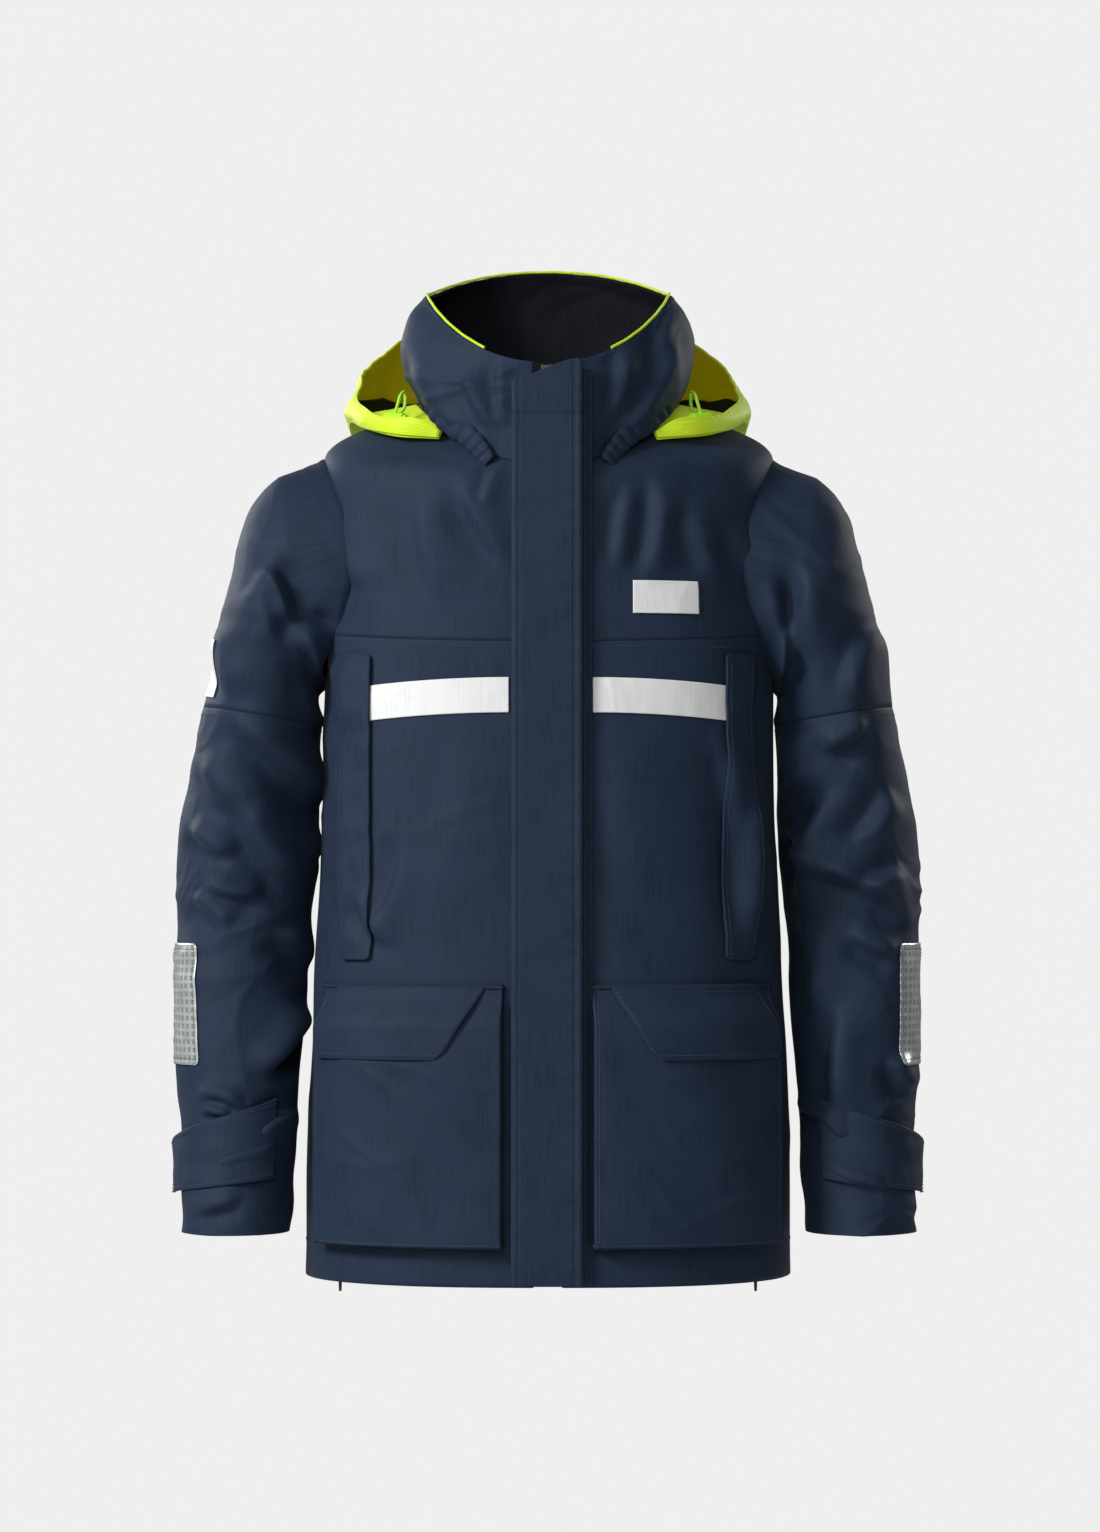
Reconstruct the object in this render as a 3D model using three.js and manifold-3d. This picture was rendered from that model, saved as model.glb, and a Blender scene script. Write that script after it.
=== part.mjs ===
// A sailing foul weather jacket, held open as if worn: shell panels, yoke, stand collar, hood hanging
// open behind the collar, zip under a storm flap, pockets, set-in sleeves, cuff tabs and reflectors.
// Millimetres, +Z up, the front faces -Y and the wearer's right is -X. The origin is in the middle of the
// neck opening, level with the neck seam at the side of the neck, until the last step moves it to the
// hanger loop.

import * as THREE from "three";
import { mergeVertices } from "three/addons/utils/BufferGeometryUtils.js";
import Module from "manifold-3d";

const wasm = await Module();
wasm.setup();

// ---------------------------------------------------------------- driving dimensions

const BODY_LENGTH = 757; // neck seam at the side of the neck down to the hem
const HEM_HALF_WIDTH = 212;
const CHEST_HALF_WIDTH = 198;
const NECK_HALF_WIDTH = 112;
const FRONT_AT_NECK = 117; // how far the zip line lies in front of the neck's centre
const FRONT_LEAN = 0.05; // how far the zip line comes forward for each millimetre down
const BACK_DEPTH = 138; // from the neck's centre back to the wearer's back
const COLLAR_HEIGHT = 101; // at the side of the neck
const COLLAR_HALF_WIDTH = 130;
const SLEEVE_HALF_WIDTH = 60; // at the elbow
const SLEEVE_HALF_DEPTH = 73;
const CUFF_HALF_WIDTH = 47;
const CUFF_HALF_DEPTH = 51;
const SLEEVE_LENGTH = 678; // from the top of the armhole down to the cuff's edge
const ARMHOLE_HALF_HEIGHT = 104;
const ARMHOLE_HALF_DEPTH = 84;
const ARMHOLE_DEPTH = 41; // top of the armhole below the neck seam
const ELBOW_BELOW_NECK = 385;
const ELBOW_ZONE = 120; // the stretch of sleeve that creases when the elbow bends
const HOOD_HALF_WIDTH = 177;
const HOOD_BAG_DEPTH = 147; // how far the hood hangs below the neck seam at the back
const POCKET_HEIGHT = 214;
const POCKET_DEPTH = 14;
const POCKET_ABOVE_HEM = 36;
const POCKET_FROM_FLAP = 9; // from the storm flap's sewn edge to a cargo pocket and to the chest tape
const POCKET_FROM_SIDE = 10; // from the widest of the chest in to a cargo pocket
const FLAP_DROP = 60; // height of a cargo pocket's flap
const FLAP_INNER_INSET = 14; // the flap's sewn edge starts this far in from the pocket's inner edge
const FLAP_INNER_SLANT = 32; // and its free edge this much further
const FLAP_OUTER_INSET = 11;
const FLAP_OUTER_SLANT = 10;
const STORM_FLAP_WIDTH = 60;
const STORM_FLAP_LEFT = -31; // its free edge, over the wearer's right front
const TAPE_HEIGHT = 30; // the white band across the chest
const TAPE_ABOVE_HEM = 484;
const TAPE_FROM_SIDE = 44; // from the widest of the chest in to the tape's outer end
const BADGE_WIDTH = 56;
const BADGE_HEIGHT = 28;
const BADGE_ABOVE_HEM = 569;
const BADGE_FROM_FLAP = 43;
const HAND_FLAP_WIDTH = 26;
const HAND_FLAP_LENGTH = 262;
const HAND_FLAP_FROM_SIDE = 48; // from the widest of the chest in to its free edge
const HAND_FLAP_ABOVE_POCKET = 24;
const REFLECTOR_LENGTH = 105;
const REFLECTOR_ABOVE_CUFF = 144;
const REFLECTOR_TURN = 54; // degrees round the sleeve
const TAB_HEIGHT = 68;
const TAB_ABOVE_CUFF = 116; // the upper edge of a cuff tab's sewn end
const TAB_SLOPE = 42; // how much lower its free end sits
const TAB_TAPER = 0.38; // the share of its height that it loses towards its free end
const TAB_TURNS = [132, -16]; // degrees round the sleeve, from its sewn end to its free end
const TAB_LIFT = 7; // how far a cuff tab's free end stands off the sleeve

const SHELL = 2; // shell fabric with its backing and seam tape
const LINING = 1;
const LINING_INSET = 5; // from the shell's outer face to the lining's outer face
const SEAM_GAP = 0.6; // between two panels at a seam
const LAID_ON = 0.3; // between a piece and what it is sewn on
const CURVED_ON = 0.95; // the same on a curved panel, whose flat facets lie a little off its true shape
const BAG_WALL = 1.6;
const TRIM = 0.7; // badges, tape and reflectors

const ZIP_HALF_OPENING = 12; // the shell's front edges stop this far from the middle
const HEM = -BODY_LENGTH;
const ARMHOLE_X = CHEST_HALF_WIDTH + 3.5; // the plane in which a sleeve meets the body
const FLAP_LEFT = STORM_FLAP_LEFT;
const FLAP_RIGHT = FLAP_LEFT + STORM_FLAP_WIDTH;
const POCKET_INNER_X = FLAP_RIGHT + POCKET_FROM_FLAP;
const POCKET_OUTER_X = CHEST_HALF_WIDTH - POCKET_FROM_SIDE;
const POCKET_BOTTOM = HEM + POCKET_ABOVE_HEM;
const POCKET_TOP = POCKET_BOTTOM + POCKET_HEIGHT;
const FRONT_ANGLE = Math.atan(FRONT_LEAN);

// ---------------------------------------------------------------- materials

const cloth = (color, roughness = 0.75) =>
  new THREE.MeshStandardMaterial({ color, roughness, metalness: 0 });
const NAVY = cloth(0x27313f);
const DARK_LINING = cloth(0x101216, 0.9);
const HIGH_VISIBILITY = cloth(0xc6f20a, 0.6);
const MESH_LINING = cloth(0x16170c, 0.9);
const WHITE_TAPE = cloth(0xf2f3f3, 0.5);
const REFLECTIVE = cloth(0xb9c0c0, 0.3);
const MOULDED_BLACK = cloth(0x111317, 0.45);
const MOULDED_LIME = cloth(0xb7f01c, 0.4);

// ---------------------------------------------------------------- solids

const between = (a, b, share) => a + (b - a) * share;
const degrees = (angle) => (angle * Math.PI) / 180;

// One closed body from points on two layers: place(u, v, layer) is the point at u, v in 0..1 on layer 0 or 1.
function sheetGeometry(place, uSteps, vSteps) {
  const points = [];
  const index = (i, j, layer) => (layer * (vSteps + 1) + j) * (uSteps + 1) + i;
  for (let layer = 0; layer < 2; layer++)
    for (let j = 0; j <= vSteps; j++)
      for (let i = 0; i <= uSteps; i++) points.push(place(i / uSteps, j / vSteps, layer));
  const faces = [];
  const quad = (a, b, c, d) => faces.push(a, b, c, a, c, d);
  for (let j = 0; j < vSteps; j++)
    for (let i = 0; i < uSteps; i++) {
      quad(index(i, j, 1), index(i + 1, j, 1), index(i + 1, j + 1, 1), index(i, j + 1, 1));
      quad(index(i, j, 0), index(i, j + 1, 0), index(i + 1, j + 1, 0), index(i + 1, j, 0));
    }
  for (let j = 0; j < vSteps; j++) {
    quad(index(0, j, 0), index(0, j, 1), index(0, j + 1, 1), index(0, j + 1, 0));
    quad(index(uSteps, j, 1), index(uSteps, j, 0), index(uSteps, j + 1, 0), index(uSteps, j + 1, 1));
  }
  for (let i = 0; i < uSteps; i++) {
    quad(index(i, 0, 0), index(i + 1, 0, 0), index(i + 1, 0, 1), index(i, 0, 1));
    quad(index(i, vSteps, 1), index(i + 1, vSteps, 1), index(i + 1, vSteps, 0), index(i, vSteps, 0));
  }
  return facingOut(points, faces);
}

// A closed ring-shaped body, such as a length of sleeve. Turns 0 and 1 of place(turn, v, layer) are the same.
function ringGeometry(place, around, vSteps) {
  const points = [];
  const index = (i, j, layer) => (layer * (vSteps + 1) + j) * around + (i % around);
  for (let layer = 0; layer < 2; layer++)
    for (let j = 0; j <= vSteps; j++)
      for (let i = 0; i < around; i++) points.push(place(i / around, j / vSteps, layer));
  const faces = [];
  const quad = (a, b, c, d) => faces.push(a, b, c, a, c, d);
  for (let i = 0; i < around; i++) {
    for (let j = 0; j < vSteps; j++) {
      quad(index(i, j, 1), index(i + 1, j, 1), index(i + 1, j + 1, 1), index(i, j + 1, 1));
      quad(index(i, j, 0), index(i, j + 1, 0), index(i + 1, j + 1, 0), index(i + 1, j, 0));
    }
    quad(index(i, 0, 0), index(i + 1, 0, 0), index(i + 1, 0, 1), index(i, 0, 1));
    quad(index(i, vSteps, 1), index(i + 1, vSteps, 1), index(i + 1, vSteps, 0), index(i, vSteps, 0));
  }
  return facingOut(points, faces);
}

// Turns the faces round if the body they close has a negative volume.
function facingOut(points, faces) {
  let volume = 0;
  for (let k = 0; k < faces.length; k += 3) {
    const [a, b, c] = [points[faces[k]], points[faces[k + 1]], points[faces[k + 2]]];
    volume += a.dot(new THREE.Vector3().crossVectors(b, c));
  }
  for (let k = 0; volume < 0 && k < faces.length; k += 3) {
    [faces[k + 1], faces[k + 2]] = [faces[k + 2], faces[k + 1]];
  }
  return new THREE.BufferGeometry().setFromPoints(points).setIndex(faces);
}

function solidOf(geometry) {
  const bare = (geometry.index ? geometry.toNonIndexed() : geometry.clone())
    .deleteAttribute("normal")
    .deleteAttribute("uv");
  const merged = mergeVertices(bare, 1e-3);
  return new wasm.Manifold(
    new wasm.Mesh({
      numProp: 3,
      vertProperties: merged.attributes.position.array,
      triVerts: new Uint32Array(merged.index.array),
    }),
  );
}

function geometryOf(solid) {
  const mesh = solid.getMesh();
  return new THREE.BufferGeometry()
    .setAttribute("position", new THREE.BufferAttribute(new Float32Array(mesh.vertProperties), 3))
    .setIndex(new THREE.BufferAttribute(new Uint32Array(mesh.triVerts), 1));
}

const cut = (geometry, ...tools) =>
  geometryOf(tools.reduce((solid, tool) => solid.subtract(solidOf(tool)), solidOf(geometry)));
const joined = (...geometries) => geometryOf(geometries.map(solidOf).reduce((a, b) => a.add(b)));

// A block between two corners.
function block([x0, y0, z0], [x1, y1, z1]) {
  const middle = [(x0 + x1) / 2, (y0 + y1) / 2, (z0 + z1) / 2];
  return new THREE.BoxGeometry(x1 - x0, y1 - y0, z1 - z0).translate(...middle);
}

// A round bar along a smooth curve through the points.
function bar(points, radius, sides, steps) {
  const section = new THREE.Shape();
  section.absarc(0, 0, radius, 0, 2 * Math.PI, false);
  const path = new THREE.CatmullRomCurve3(points.map((p) => new THREE.Vector3(...p)));
  return new THREE.ExtrudeGeometry(section, {
    extrudePath: path,
    steps,
    curveSegments: sides / 2,
    bevelEnabled: false,
  });
}

const jacket = new THREE.Group();
// The front group's Z axis runs up the zip, and its Y = 0 plane is the shell's front face.
const frontGroup = new THREE.Group();
frontGroup.position.set(0, -FRONT_AT_NECK, 0);
frontGroup.rotation.x = -FRONT_ANGLE;
jacket.add(frontGroup);

function add(name, geometry, material, group = jacket) {
  const mesh = new THREE.Mesh(geometry, material);
  mesh.name = name;
  group.add(mesh);
}

// The wearer's right is built as it stands, and the left is its mirror image.
const SIDES = [
  ["right", -1],
  ["left", 1],
];
const mirrored = (geometry, side) => (side < 0 ? geometry : turnedOver(geometry));
function turnedOver(geometry) {
  const mirror = geometry.index ? geometry.clone() : mergeVertices(geometry);
  mirror.scale(-1, 1, 1);
  const order = mirror.index.array;
  for (let k = 0; k < order.length; k += 3) {
    [order[k + 1], order[k + 2]] = [order[k + 2], order[k + 1]];
  }
  return mirror;
}

// ---------------------------------------------------------------- the body's shape

const frontAt = (z) => FRONT_AT_NECK - FRONT_LEAN * z;

// Level rings round the body, from the hem to the neck seam: half width, depth behind the neck's centre, the
// heights of its front, side and back, and how square its corners are.
const ring = (half, back, front, side, rear, square) => ({ half, back, front, side, rear, square });
const levelRing = (half, back, share) => ring(half, back, HEM * share, HEM * share, HEM * share, 2.5);
const BODY_RINGS = [
  levelRing(HEM_HALF_WIDTH, BACK_DEPTH, 1),
  levelRing(HEM_HALF_WIDTH - 1, BACK_DEPTH - 2, 0.83),
  levelRing((HEM_HALF_WIDTH + CHEST_HALF_WIDTH) / 2, BACK_DEPTH - 4, 0.663),
  levelRing(CHEST_HALF_WIDTH + 1, BACK_DEPTH - 4, 0.47),
  ring(CHEST_HALF_WIDTH, BACK_DEPTH, HEM * 0.345, HEM * 0.34, HEM * 0.33, 2.5),
  ring(CHEST_HALF_WIDTH, BACK_DEPTH + 4, -212, -201, -172, 2.5),
  ring(CHEST_HALF_WIDTH + 1, BACK_DEPTH + 2, -150, -120, -108, 2.4),
  ring(CHEST_HALF_WIDTH + 1, BACK_DEPTH - 10, -104, -57, -57, 2.3),
  ring(CHEST_HALF_WIDTH - 8, BACK_DEPTH - 24, -76, -33, -29, 2.2),
  ring((CHEST_HALF_WIDTH + NECK_HALF_WIDTH) / 2 - 5, BACK_DEPTH - 38, -66, -13, -5, 2.1),
  ring(NECK_HALF_WIDTH, BACK_DEPTH - 50, -61, 0, 8, 2),
];
const YOKE_RING = 5;
const NECK_RING = BODY_RINGS.length - 1;

const COLLAR_RINGS = [
  ring(NECK_HALF_WIDTH, BACK_DEPTH - 50, -59.6, 1.4, 9.4, 2),
  ring(COLLAR_HALF_WIDTH - 4, BACK_DEPTH - 41, -34, COLLAR_HEIGHT * 0.28, 43, 2.1),
  ring(COLLAR_HALF_WIDTH, BACK_DEPTH - 34, -8, COLLAR_HEIGHT * 0.57, 78, 2.2),
  ring(COLLAR_HALF_WIDTH - 8, BACK_DEPTH - 34, 12, COLLAR_HEIGHT * 0.82, 111, 2.2),
  ring(COLLAR_HALF_WIDTH - 22, BACK_DEPTH - 40, 27, COLLAR_HEIGHT, 135, 2.2),
];

// A smooth ring between the rings of a table, at a place counted in rings from its start.
function ringAt(rings, place) {
  const i = Math.min(Math.max(Math.floor(place), 0), rings.length - 2);
  const s = place - i;
  const [p, a] = [rings[Math.max(i - 1, 0)], rings[i]];
  const [b, q] = [rings[i + 1], rings[Math.min(i + 2, rings.length - 1)]];
  const smooth = (key) => {
    const slopeA = (b[key] - p[key]) / (i > 0 ? 2 : 1);
    const slopeB = (q[key] - a[key]) / (i + 2 < rings.length ? 2 : 1);
    const d = b[key] - a[key];
    return a[key] + s * (slopeA + s * (3 * d - 2 * slopeA - slopeB + s * (slopeA + slopeB - 2 * d)));
  };
  return Object.fromEntries(Object.keys(a).map((key) => [key, smooth(key)]));
}

// The point on a ring at a turn from the front centre, positive to the wearer's left, moved outwards by out.
function onRing(ring, turn, out) {
  const [s, c] = [Math.sin(turn), Math.cos(turn)];
  const share = Math.pow(Math.abs(c), 1.5);
  const z = ring.side + ((c > 0 ? ring.front : ring.rear) - ring.side) * share;
  const depth = (c > 0 ? frontAt(z) : ring.back) + out;
  const x = Math.sign(s) * (ring.half + out) * Math.pow(Math.abs(s), 2 / ring.square);
  return new THREE.Vector3(x, -Math.sign(c) * depth * Math.pow(Math.abs(c), 2 / ring.square), z);
}

// The turn at which a ring is at a distance from the middle of the front, or from its own side.
const turnAtX = (ring, x) => Math.asin(Math.pow(Math.min(Math.abs(x) / ring.half, 1), ring.square / 2));
const turnNearSide = (ring, gap) => Math.acos(Math.pow(gap / FRONT_AT_NECK, ring.square / 2));

// The front of the body at a distance x to the right of the middle and a height z, moved outwards by out.
function onFront(x, z, out) {
  let [low, high] = [0, NECK_RING];
  for (let k = 0; k < 40; k++) {
    const middle = (low + high) / 2;
    const ring = ringAt(BODY_RINGS, middle);
    if (onRing(ring, turnAtX(ring, x), 0).z < z) low = middle;
    else high = middle;
  }
  const ring = ringAt(BODY_RINGS, low);
  return onRing(ring, -turnAtX(ring, x), out);
}

// A panel of the body's or collar's shape between two turns and two ring places.
function panel(rings, turnsAt, placeFrom, placeTo, outs, uSteps, vSteps) {
  return sheetGeometry(
    (u, v, layer) => {
      const ring = ringAt(rings, placeFrom + (placeTo - placeFrom) * v);
      const [from, to] = turnsAt(ring);
      return onRing(ring, from + (to - from) * u, outs[layer]);
    },
    uSteps,
    vSteps,
  );
}

// A piece laid on the right front, between two distances from the middle, two heights and two distances out.
function patch([xIn, xOut], [zLow, zHigh], outs, uSteps, vSteps) {
  const at = (value, share) => (typeof value === "function" ? value(share) : value);
  return sheetGeometry(
    (u, v, layer) => {
      const z = zLow + (zHigh - zLow) * v;
      return onFront(at(xIn, v) + (at(xOut, v) - at(xIn, v)) * u, z, outs[layer]);
    },
    uSteps,
    vSteps,
  );
}

// ---------------------------------------------------------------- body panels and lining

const SHELL_OUTS = [-SHELL, 0];
const AROUND_FRONT = 8; // facets across one front, in the shell and its lining
const AROUND_BACK = 14;
const ringGap = SEAM_GAP / 2 / 60; // a seam's half gap, counted in rings about 60 mm apart
const sideTurns = (ring) => Math.PI - turnNearSide(ring, SEAM_GAP / 2);
const frontTurns = (ring) => [-turnNearSide(ring, SEAM_GAP / 2), -turnAtX(ring, ZIP_HALF_OPENING)];
const backTurns = (ring) => [sideTurns(ring), 2 * Math.PI - sideTurns(ring)];

const ARMHOLE_Y = 4;
const ARMHOLE_REACH = ARMHOLE_HALF_DEPTH - 34; // how far in from the sleeve's plane the armhole's edge curves

function armholeCutter(side, clearance = 1.1) {
  const length = 80;
  const middle = side * (ARMHOLE_X + length / 2 - ARMHOLE_REACH);
  return new THREE.CylinderGeometry(1, 1, length, 32)
    .rotateZ(Math.PI / 2)
    .scale(1, ARMHOLE_HALF_DEPTH + clearance, ARMHOLE_HALF_HEIGHT + clearance)
    .translate(middle, ARMHOLE_Y, -ARMHOLE_DEPTH - ARMHOLE_HALF_HEIGHT);
}

function bodyPanels() {
  for (const [side, sign] of SIDES) {
    const lower = panel(BODY_RINGS, frontTurns, 0, YOKE_RING - ringGap, SHELL_OUTS, AROUND_FRONT, 10);
    const upper = panel(BODY_RINGS, frontTurns, YOKE_RING + ringGap, NECK_RING, SHELL_OUTS, AROUND_FRONT, 7);
    add(`front_panel_${side}`, mirrored(cut(lower, armholeCutter(-1)), sign), NAVY);
    add(`yoke_front_${side}`, mirrored(cut(upper, armholeCutter(-1)), sign), NAVY);
  }
  const back = panel(BODY_RINGS, backTurns, 0, YOKE_RING - ringGap, SHELL_OUTS, AROUND_BACK, 10);
  const yokeBack = panel(BODY_RINGS, backTurns, YOKE_RING + ringGap, NECK_RING, SHELL_OUTS, AROUND_BACK, 7);
  add("back_panel", cut(back, armholeCutter(-1), armholeCutter(1)), NAVY);
  add("yoke_back", cut(yokeBack, armholeCutter(-1), armholeCutter(1)), NAVY);
}

const LINING_START = 0.15; // the lining's lower edge, in rings above the hem
const LINING_CLEARANCE = 3; // round the armhole

function bodyLining() {
  const outs = [-LINING_INSET - LINING, -LINING_INSET];
  const turns = (ring) => [-turnNearSide(ring, 1), -turnAtX(ring, ZIP_HALF_OPENING + 6)];
  const rearTurns = (ring) => [Math.PI - turnNearSide(ring, 1), Math.PI + turnNearSide(ring, 1)];
  const top = NECK_RING - 0.3;
  for (const [side, sign] of SIDES) {
    const front = panel(BODY_RINGS, turns, LINING_START, top, outs, AROUND_FRONT, 9);
    add(`lining_front_${side}`, mirrored(cut(front, armholeCutter(-1, LINING_CLEARANCE)), sign), DARK_LINING);
  }
  const rear = panel(BODY_RINGS, rearTurns, LINING_START, top, outs, AROUND_BACK, 9);
  const holes = [-1, 1].map((side) => armholeCutter(side, LINING_CLEARANCE));
  add("lining_back", cut(rear, ...holes), DARK_LINING);
}

// ---------------------------------------------------------------- collar

const COLLAR_PADDING = 1.5;
const PIPING = 2.6; // height of the bright edging on the collar's rim
const COLLAR_TOP = COLLAR_RINGS.length - 1;
const collarTurns = (ring) => {
  const edge = turnAtX(ring, ZIP_HALF_OPENING);
  return [edge, 2 * Math.PI - edge];
};

function collar() {
  const [around, up] = [24, 5];
  const inside = -SHELL - LAID_ON;
  add("collar_shell", panel(COLLAR_RINGS, collarTurns, 0, COLLAR_TOP, [-SHELL, 0], around, up), NAVY);
  const padding = [inside - COLLAR_PADDING, inside];
  const lining = panel(COLLAR_RINGS, collarTurns, 0, COLLAR_TOP, padding, around, up);
  add("collar_lining", lining, DARK_LINING);
  const piping = sheetGeometry(
    (u, v, layer) => {
      const ring = COLLAR_RINGS[COLLAR_TOP];
      const [from, to] = collarTurns(ring);
      const start = between(from, to, 3 / around);
      const p = onRing(ring, between(start, 2 * Math.PI - start, u), layer ? 0 : -SHELL);
      p.z += LAID_ON + PIPING * v;
      return p;
    },
    around - 6,
    1,
  );
  add("collar_piping", piping, HIGH_VISIBILITY);
}

// Elastic gathers that pull the collar's foot in at each side of the storm flap.
function collarGathers() {
  const radius = 5.5;
  for (const [side, sign] of SIDES) {
    const turns = [0.42, 0.62, 0.82, 0.98];
    const points = turns.map((turn, k) => {
      const p = onRing(ringAt(COLLAR_RINGS, 0.42 + 0.1 * k), -turn, radius + LAID_ON + 0.6);
      return [p.x, p.y, p.z];
    });
    add(`collar_gather_${side}`, mirrored(bar(points, radius, 8, 8), sign), NAVY);
  }
}

// ---------------------------------------------------------------- hanger loop

// A flat strap across the inside of the back neck, standing off it so that a hook passes behind it. The
// jacket hangs on the underside of the strap's middle, which becomes the origin.
const LOOP_SPAN = 70;
const LOOP_STAND_OFF = 9;
const LOOP_HEIGHT = 8;
const LOOP_RING = 0.45;
const LOOP_STRAP = 1.5;
const loopSeat = onRing(ringAt(COLLAR_RINGS, LOOP_RING), Math.PI, -SHELL - LAID_ON - COLLAR_PADDING);

function hangerLoop() {
  const strapFace = loopSeat.y - LOOP_STAND_OFF - LOOP_STRAP;
  const end = (side) => {
    const x = side * (LOOP_SPAN / 2);
    const depthAt = loopSeat.y * Math.sqrt(1 - (x / NECK_HALF_WIDTH) ** 2) - 2 * LAID_ON;
    return block([x - 3, strapFace, loopSeat.z], [x + 3, depthAt, loopSeat.z + LOOP_HEIGHT]);
  };
  const strap = block(
    [-LOOP_SPAN / 2 - 3, strapFace, loopSeat.z],
    [LOOP_SPAN / 2 + 3, strapFace + LOOP_STRAP, loopSeat.z + LOOP_HEIGHT],
  );
  add("hanger_loop", joined(strap, end(-1), end(1)), DARK_LINING);
}

// ---------------------------------------------------------------- front zip, in the front group's frame

const along = (z) => z * Math.sqrt(1 + FRONT_LEAN * FRONT_LEAN); // a height measured along the leaning zip
const ZIP_TOP = along(COLLAR_RINGS[COLLAR_TOP].front) - 1;
const ZIP_BOTTOM = along(HEM) + 12;
const CHAIN_IN = 1.2;
const CHAIN_OUT = 3.6;
const SLIDER_LENGTH = 14;
const SLIDER_TOP = ZIP_TOP - 2;
const RIVET_BELOW = 9; // the pull tab's rivet below the slider's top
const TAB_LENGTH = 34;

function zip() {
  for (const [side, sign] of SIDES) {
    const tape = block([-ZIP_HALF_OPENING + 0.3, 0.4, ZIP_BOTTOM], [-CHAIN_IN - 0.4, 1.5, ZIP_TOP]);
    const chain = block([-CHAIN_OUT, -0.8, ZIP_BOTTOM], [-CHAIN_IN, 2.6, ZIP_TOP]);
    add(`zip_half_${side}`, mirrored(joined(tape, chain), sign), MOULDED_BLACK, frontGroup);
  }
}

function zipSlider() {
  const bottom = SLIDER_TOP - SLIDER_LENGTH;
  const frontPlate = block([-6, -3.2, bottom], [6, -1.4, SLIDER_TOP]);
  const backPlate = block([-6, 3.2, bottom], [6, 4.6, SLIDER_TOP]);
  const post = block([-0.7, -1.6, SLIDER_TOP - 5], [0.7, 3.4, SLIDER_TOP - 1]);
  const flange = (s) => block([s * 5.5 - 0.5, -1.6, bottom], [s * 5.5 + 0.5, -0.3, SLIDER_TOP]);
  const rivet = new THREE.CylinderGeometry(1.5, 1.5, 3.2, 12).translate(0, -4.6, SLIDER_TOP - RIVET_BELOW);
  const head = new THREE.CylinderGeometry(2.8, 2.8, 0.8, 12).translate(0, -6.3, SLIDER_TOP - RIVET_BELOW);
  const slider = joined(frontPlate, backPlate, post, flange(-1), flange(1), rivet, head);
  add("zip_slider", slider, MOULDED_BLACK, frontGroup);

  const tab = new THREE.Shape();
  tab.absarc(0, 0, 4.5, 0, Math.PI, false);
  tab.lineTo(-3.2, -TAB_LENGTH + 8);
  tab.absarc(0, -TAB_LENGTH + 4, 4.5, Math.PI, 2 * Math.PI, false);
  tab.closePath();
  const hole = new THREE.Path();
  hole.absarc(0, 0, 1.9, 0, 2 * Math.PI, true);
  tab.holes.push(hole);
  const plate = new THREE.ExtrudeGeometry(tab, { depth: 1.6, bevelEnabled: false, curveSegments: 8 })
    .rotateX(Math.PI / 2)
    .translate(0, -3.6, SLIDER_TOP - RIVET_BELOW);
  add("zip_puller", plate, MOULDED_BLACK, frontGroup);
}

// ---------------------------------------------------------------- storm flap, in the front group's frame

const FLAP_FACE = 8.2; // the flap's inner face in front of the shell
const FLAP_THICKNESS = 2.4;
const BINDING_WIDTH = 2; // the strip on edge between the shell and the flap's sewn edge
const HOOK_TAPE_WIDTH = 14;
const HOOK_PILE = 3;
const LOOP_PILE = 4;
const FLAP_BOTTOM = along(HEM) + 1;
const FLAP_TOP_FREE = ZIP_TOP - 14; // at its free edge
const FLAP_TOP_SEWN = ZIP_TOP + 3; // at its sewn edge

// A slab with a slanting top edge: the storm flap's face, and what lies under its edges.
function flapSlab([x0, x1], [y0, y1]) {
  const topAt = (x) => between(FLAP_TOP_FREE, FLAP_TOP_SEWN, (x - FLAP_LEFT) / STORM_FLAP_WIDTH);
  return sheetGeometry(
    (u, v, layer) => {
      const x = x0 + (x1 - x0) * u;
      return new THREE.Vector3(x, layer ? y0 : y1, FLAP_BOTTOM + (topAt(x) - FLAP_BOTTOM) * v);
    },
    2,
    6,
  );
}

function stormFlap() {
  const sewn = FLAP_RIGHT + BINDING_WIDTH / 2;
  const face = flapSlab([FLAP_LEFT, sewn], [-FLAP_FACE - FLAP_THICKNESS, -FLAP_FACE]);
  add("storm_flap", face, NAVY, frontGroup);
  const binding = flapSlab([sewn - BINDING_WIDTH, sewn], [-FLAP_FACE + 2 * LAID_ON, LAID_ON]);
  add("storm_flap_binding", binding, NAVY, frontGroup);
  const tapeEdges = [FLAP_LEFT + 2, FLAP_LEFT + 2 + HOOK_TAPE_WIDTH];
  const hooks = flapSlab(tapeEdges, [-FLAP_FACE + LAID_ON, -FLAP_FACE + LAID_ON + HOOK_PILE]);
  add("storm_flap_hook_tape", hooks, MOULDED_BLACK, frontGroup);
  const loops = flapSlab(tapeEdges, [-LAID_ON - LOOP_PILE, -LAID_ON]);
  add("placket_loop_tape", loops, MOULDED_BLACK, frontGroup);
}

// ---------------------------------------------------------------- chest tape and badge

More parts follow.
